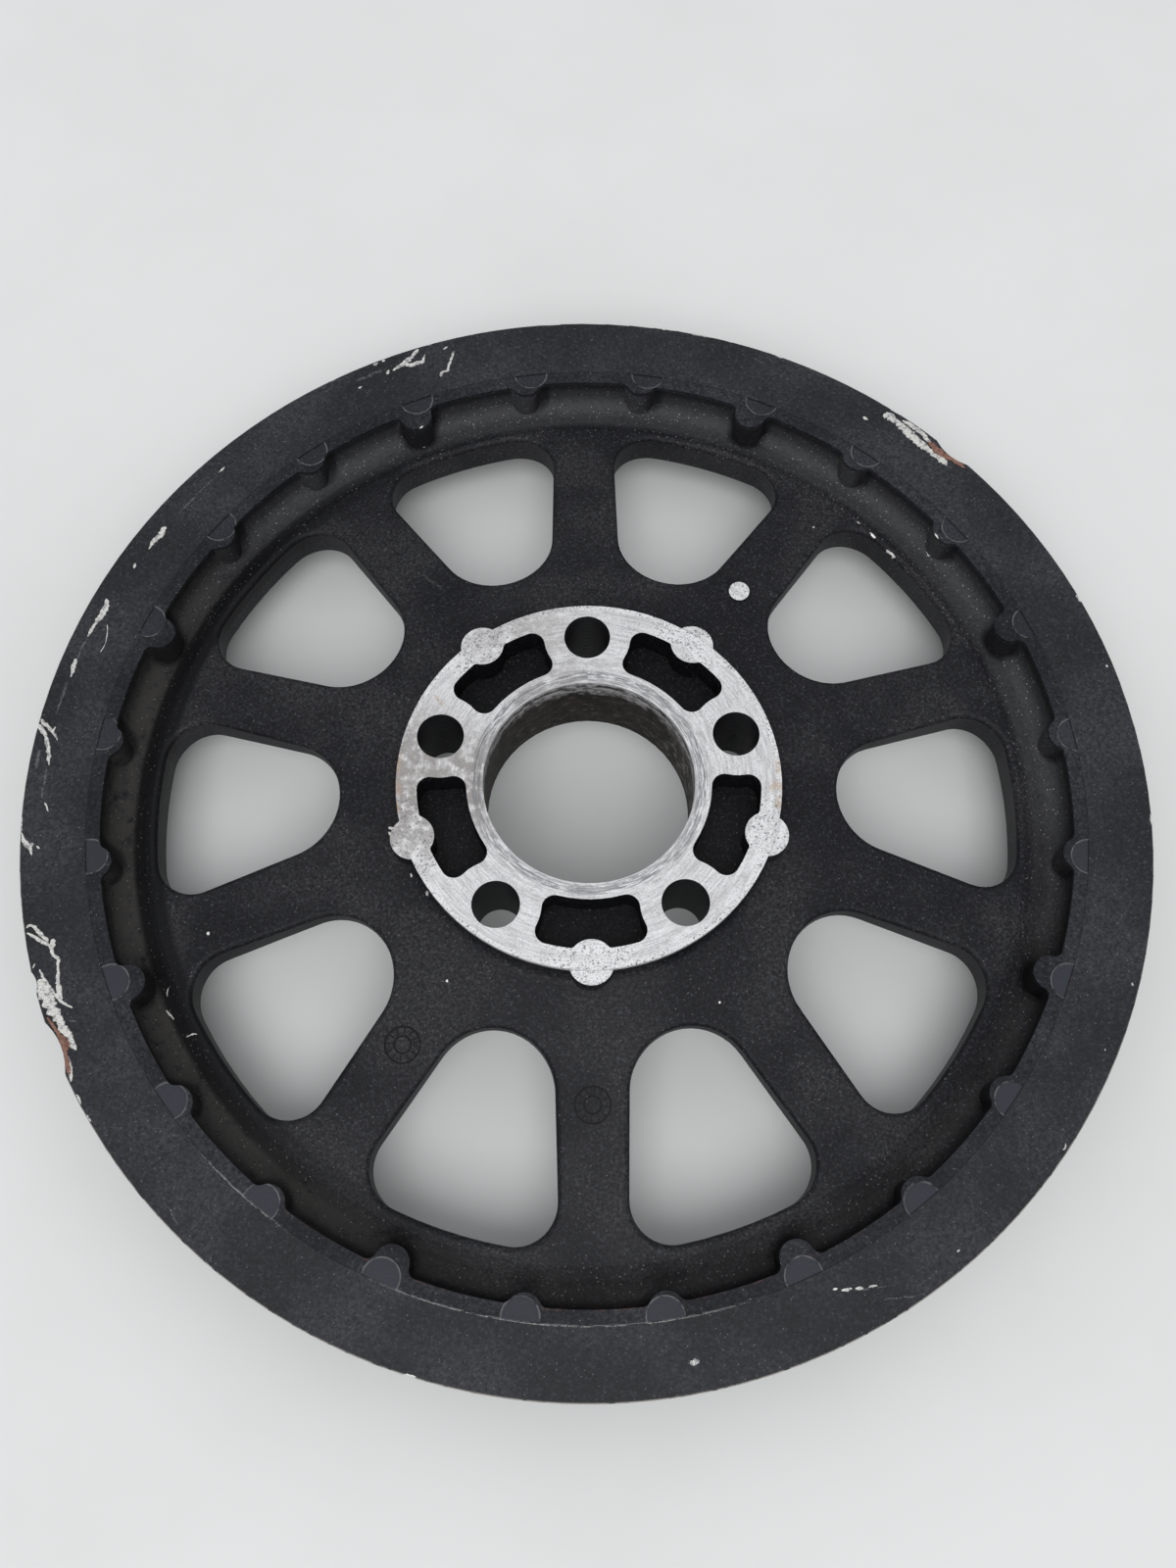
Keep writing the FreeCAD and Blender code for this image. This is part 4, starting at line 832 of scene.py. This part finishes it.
def swirl(place, size, seed):
    """Noise between about -1 and 1 at a place, with a feature size in millimetres."""
    return noise.fractal(Vector((place[0] / size, place[1] / size, seed)), 0.6, 2.0, 3) * 1.4


def along_path(path):
    """Evenly spaced places and half widths along a path of clock angles and radii."""
    knots = []
    for clock, radius, half in path:
        angle = math.radians(clock)
        knots.append(Vector((radius * math.sin(angle), radius * math.cos(angle), half)))
    knots = [2 * knots[0] - knots[1]] + knots + [2 * knots[-1] - knots[-2]]
    for before, start, end, after in zip(knots, knots[1:], knots[2:], knots[3:]):
        steps = max(2, round((end - start).xy.length / STRIP_SPACING))
        for i in range(steps):
            t = i / steps
            yield 0.5 * ((2 * start) + (end - before) * t
                         + (2 * before - 5 * start + 4 * end - after) * t ** 2
                         + (3 * start - before - 3 * end + after) * t ** 3)
    yield knots[-2]


def torn_strip(mesh, path, seed, rise, ragged):
    """One closed strip of torn metal, sunk into the ring's front and standing a little proud of it."""
    places = list(along_path(path))
    rows = []
    for number, place in enumerate(places):
        last = places[max(number - 1, 0)]
        following = places[min(number + 1, len(places) - 1)]
        heading = Vector((following.x - last.x, following.y - last.y)).normalized()
        side = Vector((-heading.y, heading.x))
        half = max(place.z, STRIP_LEAST_HALF)
        end_taper = min(1.0, 0.35 + 0.65 * min(number, len(places) - 1 - number))
        top = []
        bottom = []
        for share in STRIP_SHARES:
            side_seed = seed + (3.0 if share > 0 else 7.0)
            frayed = 1.0 + ragged * swirl((place.x, place.y), 0.9, side_seed)
            spot = place.xy + side * share * half * end_taper * max(frayed, 0.25)
            edge = ring_edge(math.degrees(math.atan2(spot.x, spot.y)))
            spot = spot.normalized() * min(spot.length, edge - STRIP_EDGE_GAP)
            crest = 1.0 - abs(share) ** 4
            rough = 0.35 + 0.65 * abs(swirl(spot, 0.8, seed + 11.0)) + 0.35 * (abs(share) > 0.7)
            lift = rough * crest * rise
            lift = -STRIP_BORDER if abs(share) == 1.0 else lift * min(1.0, 0.4 + half) + 0.03
            top.append(mesh.verts.new((spot.x * MM, spot.y * MM, (RIM_FRONT_Z + lift) * MM)))
            bottom.append(mesh.verts.new((spot.x * MM, spot.y * MM, (RIM_FRONT_Z - STRIP_FOOT) * MM)))
        rows.append(top + bottom[::-1])
    for first, second in zip(rows, rows[1:]):
        count = len(first)
        for i in range(count):
            j = (i + 1) % count
            mesh.faces.new((first[i], first[j], second[j], second[i]))
    mesh.faces.new(rows[0][::-1])
    mesh.faces.new(rows[-1])


def torn_metal(name, paths, material, rise, ragged):
    """All torn strips of one kind, as one piece on the flange ring."""
    mesh = bmesh.new()
    for number, path in enumerate(paths):
        torn_strip(mesh, path, STRIP_SEED_STEP * number, rise, ragged)
    bmesh.ops.recalc_face_normals(mesh, faces=mesh.faces)
    data = bpy.data.meshes.new(name)
    mesh.to_mesh(data)
    mesh.free()
    data.materials.append(material)
    made = bpy.data.objects.new(name, data)
    bpy.context.scene.collection.objects.link(made)
    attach(made, "root")


def stand_light():
    """Overcast sky, brighter overhead, and one wide soft lamp from the viewer's side."""
    world = bpy.data.worlds.new("sky")
    bpy.context.scene.world = world
    g = Graph(world)
    direction = g.node("ShaderNodeTexCoord").outputs["Generated"]
    strength = g.blend(g.step(g.split(direction)[2], 0.0, 1.0), SKY_LOW, SKY_HIGH)
    sky = g.node("ShaderNodeBackground", SKY_TINT, strength)
    shown = g.node("ShaderNodeBackground", BACKDROP, 1.0)
    choose = g.node("ShaderNodeMixShader", g.node("ShaderNodeLightPath").outputs["Is Camera Ray"],
                    sky.outputs[0], shown.outputs[0])
    g.node("ShaderNodeOutputWorld", choose.outputs[0])

    lamp = bpy.data.lights.new("softbox", "AREA")
    lamp.shape = "SQUARE"
    lamp.size = LAMP_SIZE
    lamp.energy = LAMP_POWER
    softbox = bpy.data.objects.new("softbox", lamp)
    softbox.location = LAMP_PLACE
    softbox.rotation_mode = "QUATERNION"
    softbox.rotation_quaternion = (-softbox.location).to_track_quat("-Z", "Y")
    bpy.context.scene.collection.objects.link(softbox)


def stand_floor():
    """Plain pale floor under the pulley."""
    mesh = bmesh.new()
    bmesh.ops.create_grid(mesh, x_segments=1, y_segments=1, size=FLOOR_HALF_SIZE)
    data = bpy.data.meshes.new("floor")
    mesh.to_mesh(data)
    mesh.free()
    g = Graph(bpy.data.materials.new("pale_floor"))
    place = g.node("ShaderNodeTexCoord").outputs["Object"]
    mottled = g.mix(g.step(g.grain(place, 9.0, 4.0, 0.6), 0.35, 0.70), FLOOR_LIGHT, FLOOR_DARK)
    shader = g.node("ShaderNodeBsdfPrincipled", mottled)
    shader.inputs["Roughness"].default_value = 0.75
    shader.inputs["Specular IOR Level"].default_value = 0.2
    g.node("ShaderNodeOutputMaterial", shader.outputs[0])
    data.materials.append(g.owner)
    floor = bpy.data.objects.new("floor", data)
    bpy.context.scene.collection.objects.link(floor)


def stand_camera():
    """Camera where the photograph was taken from, with its angle of view."""
    data = bpy.data.cameras.new("camera")
    data.sensor_width = SENSOR_WIDTH
    data.lens = LENS
    camera = bpy.data.objects.new("camera", data)
    camera.location = [value * MM for value in CAMERA_PLACE]
    camera.rotation_euler = [math.radians(value) for value in CAMERA_TURN]
    bpy.context.scene.collection.objects.link(camera)
    bpy.context.scene.camera = camera


stand_light()
stand_floor()
stand_camera()
dress(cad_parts["flange_ring"], ring_material())
dress(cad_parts["pulley_casting"], Casting().build())
torn_steel = torn_material("torn_steel", BARE_STEEL, BARE_STEEL_DARK, 0.3)
torn_metal("torn_steel", TORN_PATHS, torn_steel, 0.28, 0.38)
rusted_steel = torn_material("rusted_steel", RUST_LIGHT, RUST, 0.0)
torn_metal("rusted_steel", RUST_PATHS, rusted_steel, 0.34, 0.30)
bpy.context.scene.view_settings.view_transform = "Standard"
